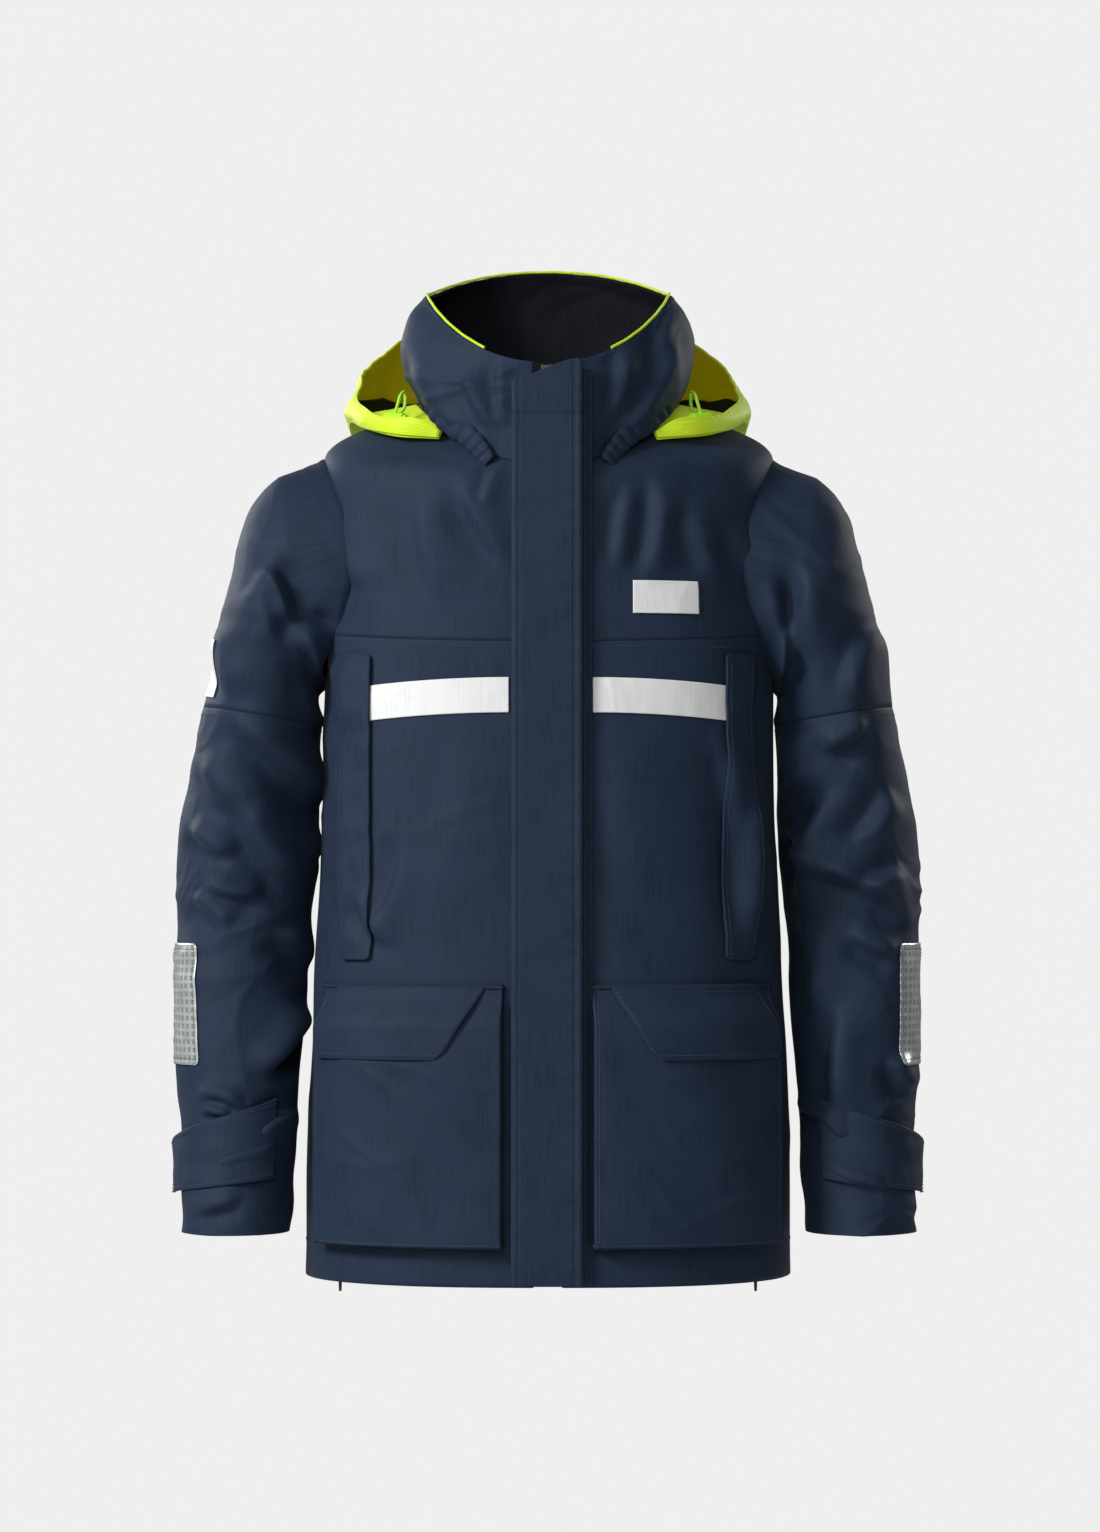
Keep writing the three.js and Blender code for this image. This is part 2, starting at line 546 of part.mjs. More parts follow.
function chestTrim() {
  const low = HEM + TAPE_ABOVE_HEM;
  const outs = [CURVED_ON, CURVED_ON + TRIM];
  const outer = CHEST_HALF_WIDTH - TAPE_FROM_SIDE;
  const tape = (inner) => patch([inner, outer], [low, low + TAPE_HEIGHT], outs, 8, 1);
  add("chest_tape_right", tape(2 - FLAP_LEFT), WHITE_TAPE);
  add("chest_tape_left", mirrored(tape(POCKET_INNER_X), 1), WHITE_TAPE);
  const badgeInner = FLAP_RIGHT + BADGE_FROM_FLAP;
  const badgeLow = HEM + BADGE_ABOVE_HEM;
  const across = [badgeInner, badgeInner + BADGE_WIDTH];
  const badge = patch(across, [badgeLow, badgeLow + BADGE_HEIGHT], outs, 4, 2);
  add("chest_badge", mirrored(badge, 1), WHITE_TAPE);
}

// ---------------------------------------------------------------- cargo pockets

const FLAP_OUT = POCKET_DEPTH + 1.2; // the flap's inner face in front of the shell

// A bellows pocket: a shallow box of cloth on the shell, open at the top.
function cargoPocket(side, sign) {
  const xIn = POCKET_INNER_X;
  const outside = patch([xIn, POCKET_OUTER_X], [POCKET_BOTTOM, POCKET_TOP], [CURVED_ON, POCKET_DEPTH], 8, 4);
  const hollow = patch(
    [xIn + BAG_WALL, POCKET_OUTER_X - BAG_WALL],
    [POCKET_BOTTOM + BAG_WALL, POCKET_TOP + BAG_WALL],
    [CURVED_ON - 1, POCKET_DEPTH - BAG_WALL],
    8,
    4,
  );
  add(`cargo_pocket_${side}`, mirrored(cut(outside, hollow), sign), NAVY);
}

// Both ends of the flap slant outwards from its sewn upper edge to its free lower edge.
function cargoFlap(side, sign) {
  const inner = (v) => POCKET_INNER_X + FLAP_INNER_INSET + FLAP_INNER_SLANT * (1 - v);
  const outer = (v) => POCKET_OUTER_X - FLAP_OUTER_INSET + FLAP_OUTER_SLANT * (1 - v);
  const edges = [POCKET_TOP - FLAP_DROP, POCKET_TOP + 1.5];
  const leaf = patch([inner, outer], edges, [FLAP_OUT, FLAP_OUT + SHELL], 8, 2);
  add(`cargo_flap_${side}`, mirrored(leaf, sign), NAVY);
}

// ---------------------------------------------------------------- hand pocket flaps

const HAND_FLAP_BOTTOM = POCKET_TOP + HAND_FLAP_ABOVE_POCKET;
const HAND_FLAP_OUT = CURVED_ON + TRIM + LAID_ON; // over the chest tape's end

function handFlap(side, sign) {
  const xIn = CHEST_HALF_WIDTH - HAND_FLAP_FROM_SIDE;
  const leaf = patch(
    [xIn, xIn + HAND_FLAP_WIDTH],
    [HAND_FLAP_BOTTOM, HAND_FLAP_BOTTOM + HAND_FLAP_LENGTH],
    [HAND_FLAP_OUT, HAND_FLAP_OUT + SHELL],
    2,
    6,
  );
  add(`hand_flap_${side}`, mirrored(leaf, sign), NAVY);
}

// ---------------------------------------------------------------- sleeves

// Stations down the right sleeve: x and z of its outermost and innermost line, its middle's y and half depth.
const SLEEVE_TOP = -ARMHOLE_DEPTH;
const ARMPIT = SLEEVE_TOP - 2 * ARMHOLE_HALF_HEIGHT;
const CUFF_Z = SLEEVE_TOP - SLEEVE_LENGTH;
const ELBOW_Z = -ELBOW_BELOW_NECK;
const innerX = (share) => ARMHOLE_X + 1.5 + share * Math.max(HEM_HALF_WIDTH - CHEST_HALF_WIDTH + 6, 6);
const elbowInner = innerX(0.2);
const cuffInner = innerX(1);
const elbowOuter = elbowInner + 2 * SLEEVE_HALF_WIDTH;
const cuffOuter = cuffInner + 2 * CUFF_HALF_WIDTH;
const station = (ox, oz, ix, iz, y, depth) => ({ ox, oz, ix, iz, y, depth });
const upperArm = (out, down, inX, inDown, y, shallower) =>
  station(
    ARMHOLE_X + out,
    SLEEVE_TOP - down,
    ARMHOLE_X + inX,
    ARMPIT - inDown,
    y,
    ARMHOLE_HALF_DEPTH - shallower,
  );
const forearm = (share, outerX, y, depth) => {
  const z = between(ELBOW_Z, CUFF_Z, share);
  return station(outerX, z, between(elbowInner, cuffInner, share), z, y, depth);
};
const SLEEVE = [
  upperArm(0, 0, 0, 0, ARMHOLE_Y, 0),
  upperArm(35, 19, 0.8, 3, 3, 0),
  upperArm(60, 48, 1.4, 6, 3, 0),
  upperArm(78, 104, 2, 10, 4, 1),
  upperArm(91, 160, 2.4, 18, 6, 2),
  station(ARMHOLE_X + 103, ARMPIT - 14, ARMHOLE_X + 3, ARMPIT - 30, 9, ARMHOLE_HALF_DEPTH - 4),
  station(ARMHOLE_X + 116, ELBOW_Z + 62, elbowInner - 1, ELBOW_Z + 56, 14, SLEEVE_HALF_DEPTH + 4),
  station(elbowOuter, ELBOW_Z, elbowInner, ELBOW_Z, 18, SLEEVE_HALF_DEPTH),
  forearm(0.18, elbowOuter + 1, 14, SLEEVE_HALF_DEPTH - 4),
  forearm(0.36, elbowOuter + 0.5, 4, SLEEVE_HALF_DEPTH - 8),
  forearm(0.55, between(elbowOuter, cuffOuter, 0.35), -10, SLEEVE_HALF_DEPTH - 13),
  forearm(0.74, between(elbowOuter, cuffOuter, 0.62), -24, CUFF_HALF_DEPTH + 5),
  forearm(0.89, between(elbowOuter, cuffOuter, 0.85), -36, CUFF_HALF_DEPTH + 2),
  forearm(1, cuffOuter, -42, CUFF_HALF_DEPTH),
];
const CAP_END = 5;
const CUFF_STATION = SLEEVE.length - 1;

// How far out the body's right side is at a depth y and a height z.
function bodySide(y, z) {
  const at = (place) => {
    const ring = ringAt(BODY_RINGS, place);
    const depth = y < 0 ? frontAt(z) : ring.back;
    const c = Math.pow(Math.min(Math.abs(y) / depth, 1), ring.square / 2) * (y < 0 ? 1 : -1);
    return onRing(ring, -Math.acos(c), 0);
  };
  let [low, high] = [0, NECK_RING];
  for (let k = 0; k < 40; k++) {
    const middle = (low + high) / 2;
    if (at(middle).z < z) low = middle;
    else high = middle;
  }
  return at(low).x;
}

// A point on the right sleeve at a station; turn 0 is outermost, and a quarter turn is the front. The first
// station lies in the armhole, so it follows the body's side.
function onSleeve(station, turn, out) {
  const s = ringAt(SLEEVE, station);
  const outer = new THREE.Vector3(-s.ox, s.y, s.oz);
  const inner = new THREE.Vector3(-s.ix, s.y, s.iz);
  const middle = outer.clone().add(inner).multiplyScalar(0.5);
  const half = outer.clone().sub(middle);
  const reach = half.length();
  half.multiplyScalar((reach + out) / reach);
  const p = middle.addScaledVector(half, Math.cos(turn));
  p.y -= (s.depth + out) * Math.sin(turn);
  if (station < 1) p.x = between(bodySide(p.y, p.z), p.x, station);
  return p;
}

// The station at which the sleeve's inner line reaches a height, below the cap.
function stationAt(z) {
  let [low, high] = [CAP_END, CUFF_STATION];
  for (let k = 0; k < 30; k++) {
    const middle = (low + high) / 2;
    if (ringAt(SLEEVE, middle).iz > z) low = middle;
    else high = middle;
  }
  return low;
}

function sleevePart(from, to, steps) {
  return ringGeometry(
    (turn, v, layer) => onSleeve(between(from, to, v), 2 * Math.PI * turn, layer ? 0 : -SHELL),
    20,
    steps,
  );
}

function sleeves() {
  const aboveElbow = stationAt(ELBOW_Z + ELBOW_ZONE / 2);
  const belowElbow = stationAt(ELBOW_Z - ELBOW_ZONE / 2);
  const gap = SEAM_GAP / 50; // a seam's gap, counted in stations about 50 mm apart
  for (const [side, sign] of SIDES) {
    add(`sleeve_cap_${side}`, mirrored(sleevePart(0, CAP_END, 5), sign), NAVY);
    add(`sleeve_upper_${side}`, mirrored(sleevePart(CAP_END + gap, aboveElbow, 2), sign), NAVY);
    add(`sleeve_elbow_${side}`, mirrored(sleevePart(aboveElbow + gap, belowElbow - gap, 3), sign), NAVY);
    add(`sleeve_lower_${side}`, mirrored(sleevePart(belowElbow, CUFF_STATION, 5), sign), NAVY);
  }
}

// A piece laid on the right sleeve between two turns; heights and outs give its edges and layers along it.
function onSleevePiece(turns, heights, outs, uSteps, vSteps) {
  return sheetGeometry(
    (u, v, layer) => {
      const [low, high] = heights(u);
      return onSleeve(stationAt(between(low, high, v)), between(turns[0], turns[1], u), outs(u)[layer]);
    },
    uSteps,
    vSteps,
  );
}

const BADGE_STATIONS = [4.05, 4.85]; // the sleeve badge ends just above the upper-arm seam
const BADGE_TURN = 36;

function sleeveReflector(side, sign) {
  const bottom = CUFF_Z + REFLECTOR_ABOVE_CUFF;
  const patch = onSleevePiece(
    [degrees(0), degrees(REFLECTOR_TURN)],
    () => [bottom, bottom + REFLECTOR_LENGTH],
    () => [CURVED_ON, CURVED_ON + TRIM],
    3,
    4,
  );
  add(`sleeve_reflector_${side}`, mirrored(patch, sign), REFLECTIVE);
}

// A tapered tab round the cuff, whose last two fifths stand off the sleeve.
function cuffTab(side, sign) {
  const tab = onSleevePiece(
    TAB_TURNS.map(degrees),
    (u) => {
      const top = CUFF_Z + TAB_ABOVE_CUFF - TAB_SLOPE * u;
      return [Math.max(top - TAB_HEIGHT * (1 - TAB_TAPER * u), CUFF_Z + 2), top];
    },
    (u) => {
      const lift = CURVED_ON + TAB_LIFT * Math.pow(Math.max(u - 0.6, 0) / 0.4, 2);
      return [lift, lift + SHELL];
    },
    12,
    2,
  );
  add(`cuff_tab_${side}`, mirrored(tab, sign), NAVY);
}

function sleeveBadge() {
  const at = (u, v, layer) =>
    onSleeve(between(...BADGE_STATIONS, v), degrees(BADGE_TURN * u), CURVED_ON + layer * TRIM);
  add("sleeve_badge", sheetGeometry(at, 2, 3), WHITE_TAPE);
}

// ---------------------------------------------------------------- hood

// Three lines round the hood's right half, from its front tip to the middle of its back: where it is sewn
// into the neck seam, where it folds down on the shoulders and hangs lowest, and the rim of its opening.
const HOOD_THICKNESS = 1.8;
const W = HOOD_HALF_WIDTH;
const BAG = -HOOD_BAG_DEPTH;
const HOOD_START = 0.9; // the turn round the neck at which the hood's front tip is sewn
const smoothLine = (points) => new THREE.CatmullRomCurve3(points.map((p) => new THREE.Vector3(...p)));
const HOOD_SEAM = smoothLine(
  [0, 0.2, 0.4, 0.6, 0.8, 1].map((share) => {
    const turn = between(HOOD_START, Math.PI, share);
    return onRing(ringAt(COLLAR_RINGS, 0.12), -turn, HOOD_THICKNESS + LAID_ON).toArray();
  }),
);
const HOOD_CREASE = smoothLine([
  [-94, -86, -34],
  [-W + 47, -75, -30],
  [-W + 17, -40, -20],
  [-W + 3, 5, -9],
  [-W, 58, -13],
  [-W + 16, 118, -52],
  [-W + 66, 168, BAG + 26],
  [0, 186, BAG],
]);
const HOOD_RIM = smoothLine([
  [-93, -86, -29],
  [-W + 62, -82, -14],
  [-W + 27, -52, -7],
  [-W + 9, -6, 8],
  [-W + 12, 42, 32],
  [-W + 28, 84, 58],
  [-W + 62, 122, 82],
  [0, 158, 102],
]);

// A surface between two of the lines, bulging outwards. u runs from the right tip round the back to the left.
function hoodSurface(lineA, lineB, bulge) {
  const point = (u, v) => {
    const share = u <= 0.5 ? u * 2 : 2 - u * 2;
    const p = lineA.getPointAt(share).lerp(lineB.getPointAt(share), v);
    const push = bulge * Math.sin(Math.PI * v) * share;
    p.add(new THREE.Vector3(p.x, p.y + 30, 0).setLength(push));
    if (u > 0.5) p.x = -p.x;
    return p;
  };
  return (u, v, out) => {
    const [a, b] = [Math.min(Math.max(u, 0.01), 0.99), Math.min(Math.max(v, 0.01), 0.99)];
    const along = point(a + 0.01, b).sub(point(a - 0.01, b));
    const across = point(a, b + 0.01).sub(point(a, b - 0.01));
    return point(u, v).addScaledVector(across.cross(along).normalize(), out);
  };
}

function hoodSheet(surface, [uFrom, uTo], [vFrom, vTo], outs, uSteps, vSteps) {
  return sheetGeometry(
    (u, v, layer) => surface(between(uFrom, uTo, u), between(vFrom, vTo, v), outs[layer]),
    uSteps,
    vSteps,
  );
}

const HOOD_BOWL = hoodSurface(HOOD_CREASE, HOOD_RIM, 22);
const HOOD_YOKE = hoodSurface(HOOD_SEAM, HOOD_CREASE, 26);

function hood() {
  const [around, up] = [28, 5];
  const shell = hoodSheet(HOOD_BOWL, [0, 1], [0, 1], [0, HOOD_THICKNESS], around, up);
  add("hood_shell", shell, HIGH_VISIBILITY);
  const [from, to] = [3 / around, 1 - 3 / around];
  const meshOuts = [-LINING - LAID_ON, -LAID_ON];
  const lining = hoodSheet(HOOD_BOWL, [from, to], [1 / up, 1 - 1 / up], meshOuts, around - 6, up - 2);
  add("hood_mesh_lining", lining, MESH_LINING);
  const half = HOOD_THICKNESS / 2;
  const neckPanel = hoodSheet(HOOD_YOKE, [0, 1], [0, 0.95], [-half, half], around, 3);
  add("hood_neck_panel", neckPanel, HIGH_VISIBILITY);
}

// A cord lock lies inside the rim near each front tip: a barrel along the rim, with a spring button in its
// end and the hood's drawcord through it, whose free loop stands out of its upper side.
const LOCK = { u: 0.06, v: 0.86, radius: 4.5, length: 20, bore: 2.4 };
const BUTTON_LENGTH = 5;
const BUTTON_SUNK = 2;

function hoodCordLocks() {
  const { u, v, radius, length, bore } = LOCK;
  const seat = HOOD_BOWL(u, v, 0);
  const outward = HOOD_BOWL(u, v, 1).sub(seat);
  const along = HOOD_BOWL(u - 0.02, v, 0).sub(HOOD_BOWL(u + 0.02, v, 0)).normalize();
  const up = new THREE.Vector3().crossVectors(outward, along).normalize();
  up.multiplyScalar(Math.sign(up.z));
  const side = new THREE.Vector3().crossVectors(up, along);
  const frame = new THREE.Matrix4().makeBasis(along, side, up);
  frame.setPosition(seat.clone().addScaledVector(outward, -radius - 2 * CURVED_ON));
  const barrel = new THREE.CylinderGeometry(radius, radius, length, 16).rotateZ(Math.PI / 2);
  const cordHole = block([-bore, -1.3, -radius], [bore, 1.3, radius + 1]);
  const well = new THREE.CylinderGeometry(radius - 1, radius - 1, 2 * BUTTON_LENGTH, 14)
    .rotateZ(Math.PI / 2)
    .translate(length / 2, 0, 0);
  const button = new THREE.CylinderGeometry(radius - 1.4, radius - 1.4, BUTTON_LENGTH, 14)
    .rotateZ(Math.PI / 2)
    .translate(length / 2 + BUTTON_LENGTH / 2 - BUTTON_SUNK, 0, 0);
  for (const [name, sign] of SIDES) {
    const placed = (geometry) => mirrored(geometry.clone().applyMatrix4(frame), sign);
    add(`hood_cord_lock_${name}`, placed(cut(barrel, cordHole, well)), MOULDED_LIME);
    add(`hood_lock_button_${name}`, placed(button), MOULDED_LIME);
    add(`hood_cord_loop_${name}`, placed(cordLoop(radius + LAID_ON)), MOULDED_LIME);
  }
}

// The free loop of the hood's drawcord, from the lock's bore up and back again.
function cordLoop(foot) {
  return bar(
    [
      [-3, 0, foot],
      [-5, 1, foot + 8],
      [-5, 0, foot + 15],
      [0, -2, foot + 21],
      [5, -2, foot + 15],
      [5, 0, foot + 8],
      [3, 0, foot],
    ],
    1.4,
    8,
    20,
  );
}

// ---------------------------------------------------------------- hem drawcord

const HEM_LOCK_FROM_SIDE = 28;

function hemCord() {
  const [radius, length] = [5, 14];
  for (const [side, sign] of SIDES) {
    const seat = onFront(HEM_HALF_WIDTH - HEM_LOCK_FROM_SIDE, HEM + 12, -SHELL - 2 * LAID_ON - radius);
    const lock = new THREE.CylinderGeometry(radius, radius, length, 12)
      .rotateX(Math.PI / 2)
      .translate(seat.x, seat.y, seat.z);
    add(`hem_cord_lock_${side}`, mirrored(lock, sign), MOULDED_BLACK);
    const foot = seat.z - length / 2 - LAID_ON;
    const loop = bar(
      [
        [seat.x, seat.y - 2.4, foot],
        [seat.x, seat.y - 4, foot - 6],
        [seat.x, seat.y, foot - 13],
        [seat.x, seat.y + 4, foot - 6],
        [seat.x, seat.y + 2.4, foot],
      ],
      1.2,
      8,
      14,
    );
    add(`hem_cord_loop_${side}`, mirrored(loop, sign), MOULDED_BLACK);
  }
}

bodyPanels();
bodyLining();
collar();
collarGathers();
hangerLoop();
zip();
zipSlider();
stormFlap();
chestTrim();
for (const [side, sign] of SIDES) {
  cargoPocket(side, sign);
  cargoFlap(side, sign);
  handFlap(side, sign);
}
sleeves();
for (const [side, sign] of SIDES) {
  sleeveReflector(side, sign);
  cuffTab(side, sign);
}
sleeveBadge();
hood();
hoodCordLocks();
hemCord();
jacket.position.set(0, LOOP_STAND_OFF - loopSeat.y, -loopSeat.z);

export default jacket;
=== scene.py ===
# %% [markdown]
# # A sailing foul weather jacket
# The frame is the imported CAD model: every seam, pocket and hinge already has its place. This lesson gives
# the jacket its cloth. Lengths in the tables are in millimetres, as a pattern cutter writes them, and are
# turned into the frame's metres when a mesh is made.

# %% The frame
import math

import bpy
import numpy as np
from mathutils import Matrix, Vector


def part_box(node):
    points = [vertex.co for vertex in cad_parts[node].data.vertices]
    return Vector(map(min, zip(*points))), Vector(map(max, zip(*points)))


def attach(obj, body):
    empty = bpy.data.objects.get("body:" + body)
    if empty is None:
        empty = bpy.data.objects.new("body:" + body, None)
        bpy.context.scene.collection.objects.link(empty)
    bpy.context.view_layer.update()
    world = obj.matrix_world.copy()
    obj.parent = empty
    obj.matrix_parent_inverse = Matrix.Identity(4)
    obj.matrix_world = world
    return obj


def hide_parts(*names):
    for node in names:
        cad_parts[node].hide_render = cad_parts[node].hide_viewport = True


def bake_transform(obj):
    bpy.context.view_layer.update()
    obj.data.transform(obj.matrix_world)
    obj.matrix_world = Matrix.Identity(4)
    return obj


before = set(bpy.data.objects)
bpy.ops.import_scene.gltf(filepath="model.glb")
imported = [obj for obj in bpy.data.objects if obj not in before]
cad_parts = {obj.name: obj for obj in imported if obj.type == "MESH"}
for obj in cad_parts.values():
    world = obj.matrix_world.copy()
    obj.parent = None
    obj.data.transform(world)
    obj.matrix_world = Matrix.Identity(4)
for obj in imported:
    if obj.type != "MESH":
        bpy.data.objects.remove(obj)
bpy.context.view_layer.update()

# %% [markdown]
# ## Where the pattern lies in the frame
# The pattern's own origin is the middle of the neck, level with the neck seam. The lowest edge of the
# back panel is the hem and its rearmost point is the fullest of the back, so those two give the step from
# pattern to frame.

# %% Pattern to frame
MM = 0.001
BODY_LENGTH = 757.0
BACK_FULLEST = 142.0
back_low, back_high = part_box("back_panel")
NECK = np.array([0.0, back_high.y / MM - BACK_FULLEST, back_low.z / MM + BODY_LENGTH])
HEM = -BODY_LENGTH


def to_frame(points):
    """Pattern millimetres to frame metres."""
    return (np.asarray(points, float) + NECK) * MM


print("neck middle in the frame:", np.round(to_frame([0, 0, 0]), 4))

# %% [markdown]
# ## The body's shape
# A worn jacket is a stack of level rings, from the hem to the neck seam. Each ring has a half width, a
# depth behind, the heights of its front, side and back, and a squareness, because a chest is flatter than
# an ellipse. The collar carries on with rings of its own. The body could be sculpted as well, but rings
# give every seam and pocket a formula to follow, so that what is sewn on always lies on the cloth.

# %% Rings
FRONT_AT_NECK = 117.0  # how far the front lies ahead of the neck's middle, level with the neck seam
FRONT_LEAN = 0.05  # and how much further for each millimetre lower down
BODY_RINGS = np.array([  # half width, depth behind, height at the front, side and back, squareness
    [212, 138, -757, -757, -757, 2.5],
    [211, 136, -628.3, -628.3, -628.3, 2.5],
    [205, 134, -501.9, -501.9, -501.9, 2.5],
    [199, 134, -355.8, -355.8, -355.8, 2.5],
    [198, 138, -261.2, -257.4, -249.8, 2.5],
    [198, 142, -212, -201, -172, 2.5],
    [199, 140, -150, -120, -108, 2.4],
    [199, 128, -104, -57, -57, 2.3],
    [190, 114, -76, -33, -29, 2.2],
    [150, 100, -66, -13, -5, 2.1],
    [112, 88, -61, 0, 8, 2],
], float)
YOKE_RING = 5
NECK_RING = len(BODY_RINGS) - 1
COLLAR_RINGS = np.array([
    [112, 88, -59.6, 1.4, 9.4, 2],
    [126, 97, -34, 28.3, 43, 2.1],
    [130, 104, -8, 57.6, 78, 2.2],
    [122, 104, 12, 82.8, 111, 2.2],
    [108, 98, 27, 101, 135, 2.2],
], float)
COLLAR_TOP = len(COLLAR_RINGS) - 1

# %% Points on a ring
def ring_at(table, place):
    """The ring at a place counted in rows of the table, on a smooth curve through the rows."""
    place = np.asarray(place, float)
    i = np.clip(np.floor(place).astype(int), 0, len(table) - 2)
    s = (place - i)[..., None]
    p, a = table[np.maximum(i - 1, 0)], table[i]
    b, q = table[i + 1], table[np.minimum(i + 2, len(table) - 1)]
    slope_a = (b - p) / np.where(i > 0, 2, 1)[..., None]
    slope_b = (q - a) / np.where(i + 2 < len(table), 2, 1)[..., None]
    d = b - a
    return a + s * (slope_a + s * (3 * d - 2 * slope_a - slope_b + s * (slope_a + slope_b - 2 * d)))


def on_ring(ring, turn, out):
    """The point of a ring at a turn from the front centre, positive to the wearer's left, moved outwards."""
    half, back, front, side, rear, square = np.moveaxis(np.asarray(ring, float), -1, 0)
    s, c = np.sin(turn), np.cos(turn)
    z = side + (np.where(c > 0, front, rear) - side) * np.abs(c) ** 1.5
    depth = np.where(c > 0, FRONT_AT_NECK - FRONT_LEAN * z, back) + out
    x = np.sign(s) * (half + out) * np.abs(s) ** (2 / square)
    return np.stack([x, -np.sign(c) * depth * np.abs(c) ** (2 / square), z], -1)


def turn_at_x(ring, x):
    return np.arcsin(np.minimum(np.abs(x) / ring[..., 0], 1) ** (ring[..., 5] / 2))

# %% Points on the front
def halve(low, high, is_low, x_like):
    """Bisects for the place where is_low turns false, for every entry of an array at once."""
    low, high = np.full(np.shape(x_like), float(low)), np.full(np.shape(x_like), float(high))
    for _ in range(34):
        middle = (low + high) / 2
        below = is_low(middle)
        low, high = np.where(below, middle, low), np.where(below, high, middle)
    return low


def on_front(x, z, out):
    """The right front at a distance x from the middle and a height z."""
    x, z = np.broadcast_arrays(np.asarray(x, float), np.asarray(z, float))

    def lower(place):
        ring = ring_at(BODY_RINGS, place)
        return on_ring(ring, turn_at_x(ring, x), 0)[..., 2] < z

    ring = ring_at(BODY_RINGS, halve(0, NECK_RING, lower, x))
    return on_ring(ring, -turn_at_x(ring, x), out)


print("chest front:", np.round(to_frame(on_front(60.0, -200.0, 0)), 3))

# %% [markdown]
# ## The sleeve's shape
# A sleeve is cut and sewn into a tube, and set into the body's armhole. It could be a bent cylinder, but
# a row of tilted ellipses comes closer to the pattern. The first lies in the armhole, on the body's side,
# the next ones tilt down to the arm's own direction, and the last one is the cuff.

# %% Sleeve stations
ARMHOLE_Y = 4.0
SLEEVE_TOP, ARMPIT, CUFF_Z, ELBOW_Z = -41.0, -249.0, -719.0, -385.0
CAP_END = 5  # the station of the upper-arm seam
UPPER = [  # outer x, outer z, inner x, inner z, middle y, half depth
    [201.5, -41, 201.5, -249, 4, 84],
    [236.5, -60, 202.3, -252, 3, 84],
    [261.5, -89, 202.9, -255, 3, 84],
    [279.5, -145, 203.5, -259, 4, 83],
    [292.5, -201, 203.9, -267, 6, 82],
    [304.5, -263, 204.5, -279, 9, 80],
    [317.5, -323, 206, -329, 14, 77],
    [327, -385, 207, -385, 18, 73],
]
FOREARM = [  # share of the way from elbow to cuff, outer x, middle y, half depth
    [0.18, 328, 14, 69], [0.36, 327.5, 4, 65], [0.55, 323.5, -10, 60], [0.74, 320.8, -24, 56],
    [0.89, 318.5, -36, 53], [1, 317, -42, 51],
]
INNER_AT_ELBOW, INNER_GAIN = 207, 16


def forearm_station(share, outer, y, depth):
    z = ELBOW_Z + (CUFF_Z - ELBOW_Z) * share
    return [outer, z, INNER_AT_ELBOW + INNER_GAIN * share, z, y, depth]


SLEEVE = np.array(UPPER + [forearm_station(*row) for row in FOREARM], float)
CUFF_STATION = len(SLEEVE) - 1

# %% Points on the sleeve
def body_side(y, z):
    """How far out the body's right side is at a depth y and a height z."""

    def at(place):
        ring = ring_at(BODY_RINGS, place)
        depth = np.where(y < 0, FRONT_AT_NECK - FRONT_LEAN * z, ring[..., 1])
        c = np.minimum(np.abs(y) / depth, 1) ** (ring[..., 5] / 2) * np.where(y < 0, 1, -1)
        return on_ring(ring, -np.arccos(c), 0)

    return at(halve(0, NECK_RING, lambda place: at(place)[..., 2] < z, y))[..., 0]


def on_sleeve(station, turn, out):
    """The right sleeve at a station. Turn 0 is outermost and a quarter turn is the front."""
    s = ring_at(SLEEVE, station)
    outer = np.stack([-s[..., 0], s[..., 4], s[..., 1]], -1)
    inner = np.stack([-s[..., 2], s[..., 4], s[..., 3]], -1)
    middle = (outer + inner) / 2
    half = outer - middle
    reach = np.linalg.norm(half, axis=-1, keepdims=True)
    out = np.asarray(out, float) * np.ones(np.shape(turn))
    half = half * (reach + out[..., None]) / reach
    p = middle + half * np.cos(turn)[..., None]
    p[..., 1] -= (s[..., 5] + out) * np.sin(turn)
    near = np.clip(1 - station, 0, 1)
    p[..., 0] = p[..., 0] * (1 - near) + (body_side(p[..., 1], p[..., 2]) - out) * near
    return p


def station_at(z):
    return halve(CAP_END, CUFF_STATION, lambda st: ring_at(SLEEVE, st)[..., 3] > z, np.asarray(z, float))


print("elbow station:", round(float(station_at(ELBOW_Z)), 2))

# %% [markdown]
# ## The hood's lines
# Three lines run round the hood's right half, from its front tip to the middle of its back: the neck
# seam, the fold on which it hangs, and the rim of its opening. A surface between two of them bulges
# outwards, as a bag does. Half a sphere could be pulled into this shape, but the seams are what a hood is
# cut by, so they come first.

# %% Hood surfaces
HOOD_THICKNESS = 1.8
HOOD_START = 0.9  # the turn from the front centre at which the neck seam's hood begins
BOWL_BULGE, YOKE_BULGE = 22, 26


def smooth_line(points):
    """A Catmull-Rom curve through the points, measured along its length."""
    p = np.asarray(points, float)
    ends = np.vstack([2 * p[0] - p[1], p, 2 * p[-1] - p[-2]])
    t = np.linspace(0, 1, 24, endpoint=False)[:, None]
    rows = []
    for k in range(len(p) - 1):
        a, b, c, d = ends[k:k + 4]
        curved = (2 * a - 5 * b + 4 * c - d) * t**2 + (3 * b - a - 3 * c + d) * t**3
        rows.append(0.5 * (2 * b + (c - a) * t + curved))
    fine = np.vstack(rows + [p[-1:]])
    length = np.concatenate([[0], np.cumsum(np.linalg.norm(np.diff(fine, axis=0), axis=1))])
    return lambda share: np.stack([np.interp(share * length[-1], length, fine[:, k]) for k in range(3)], -1)

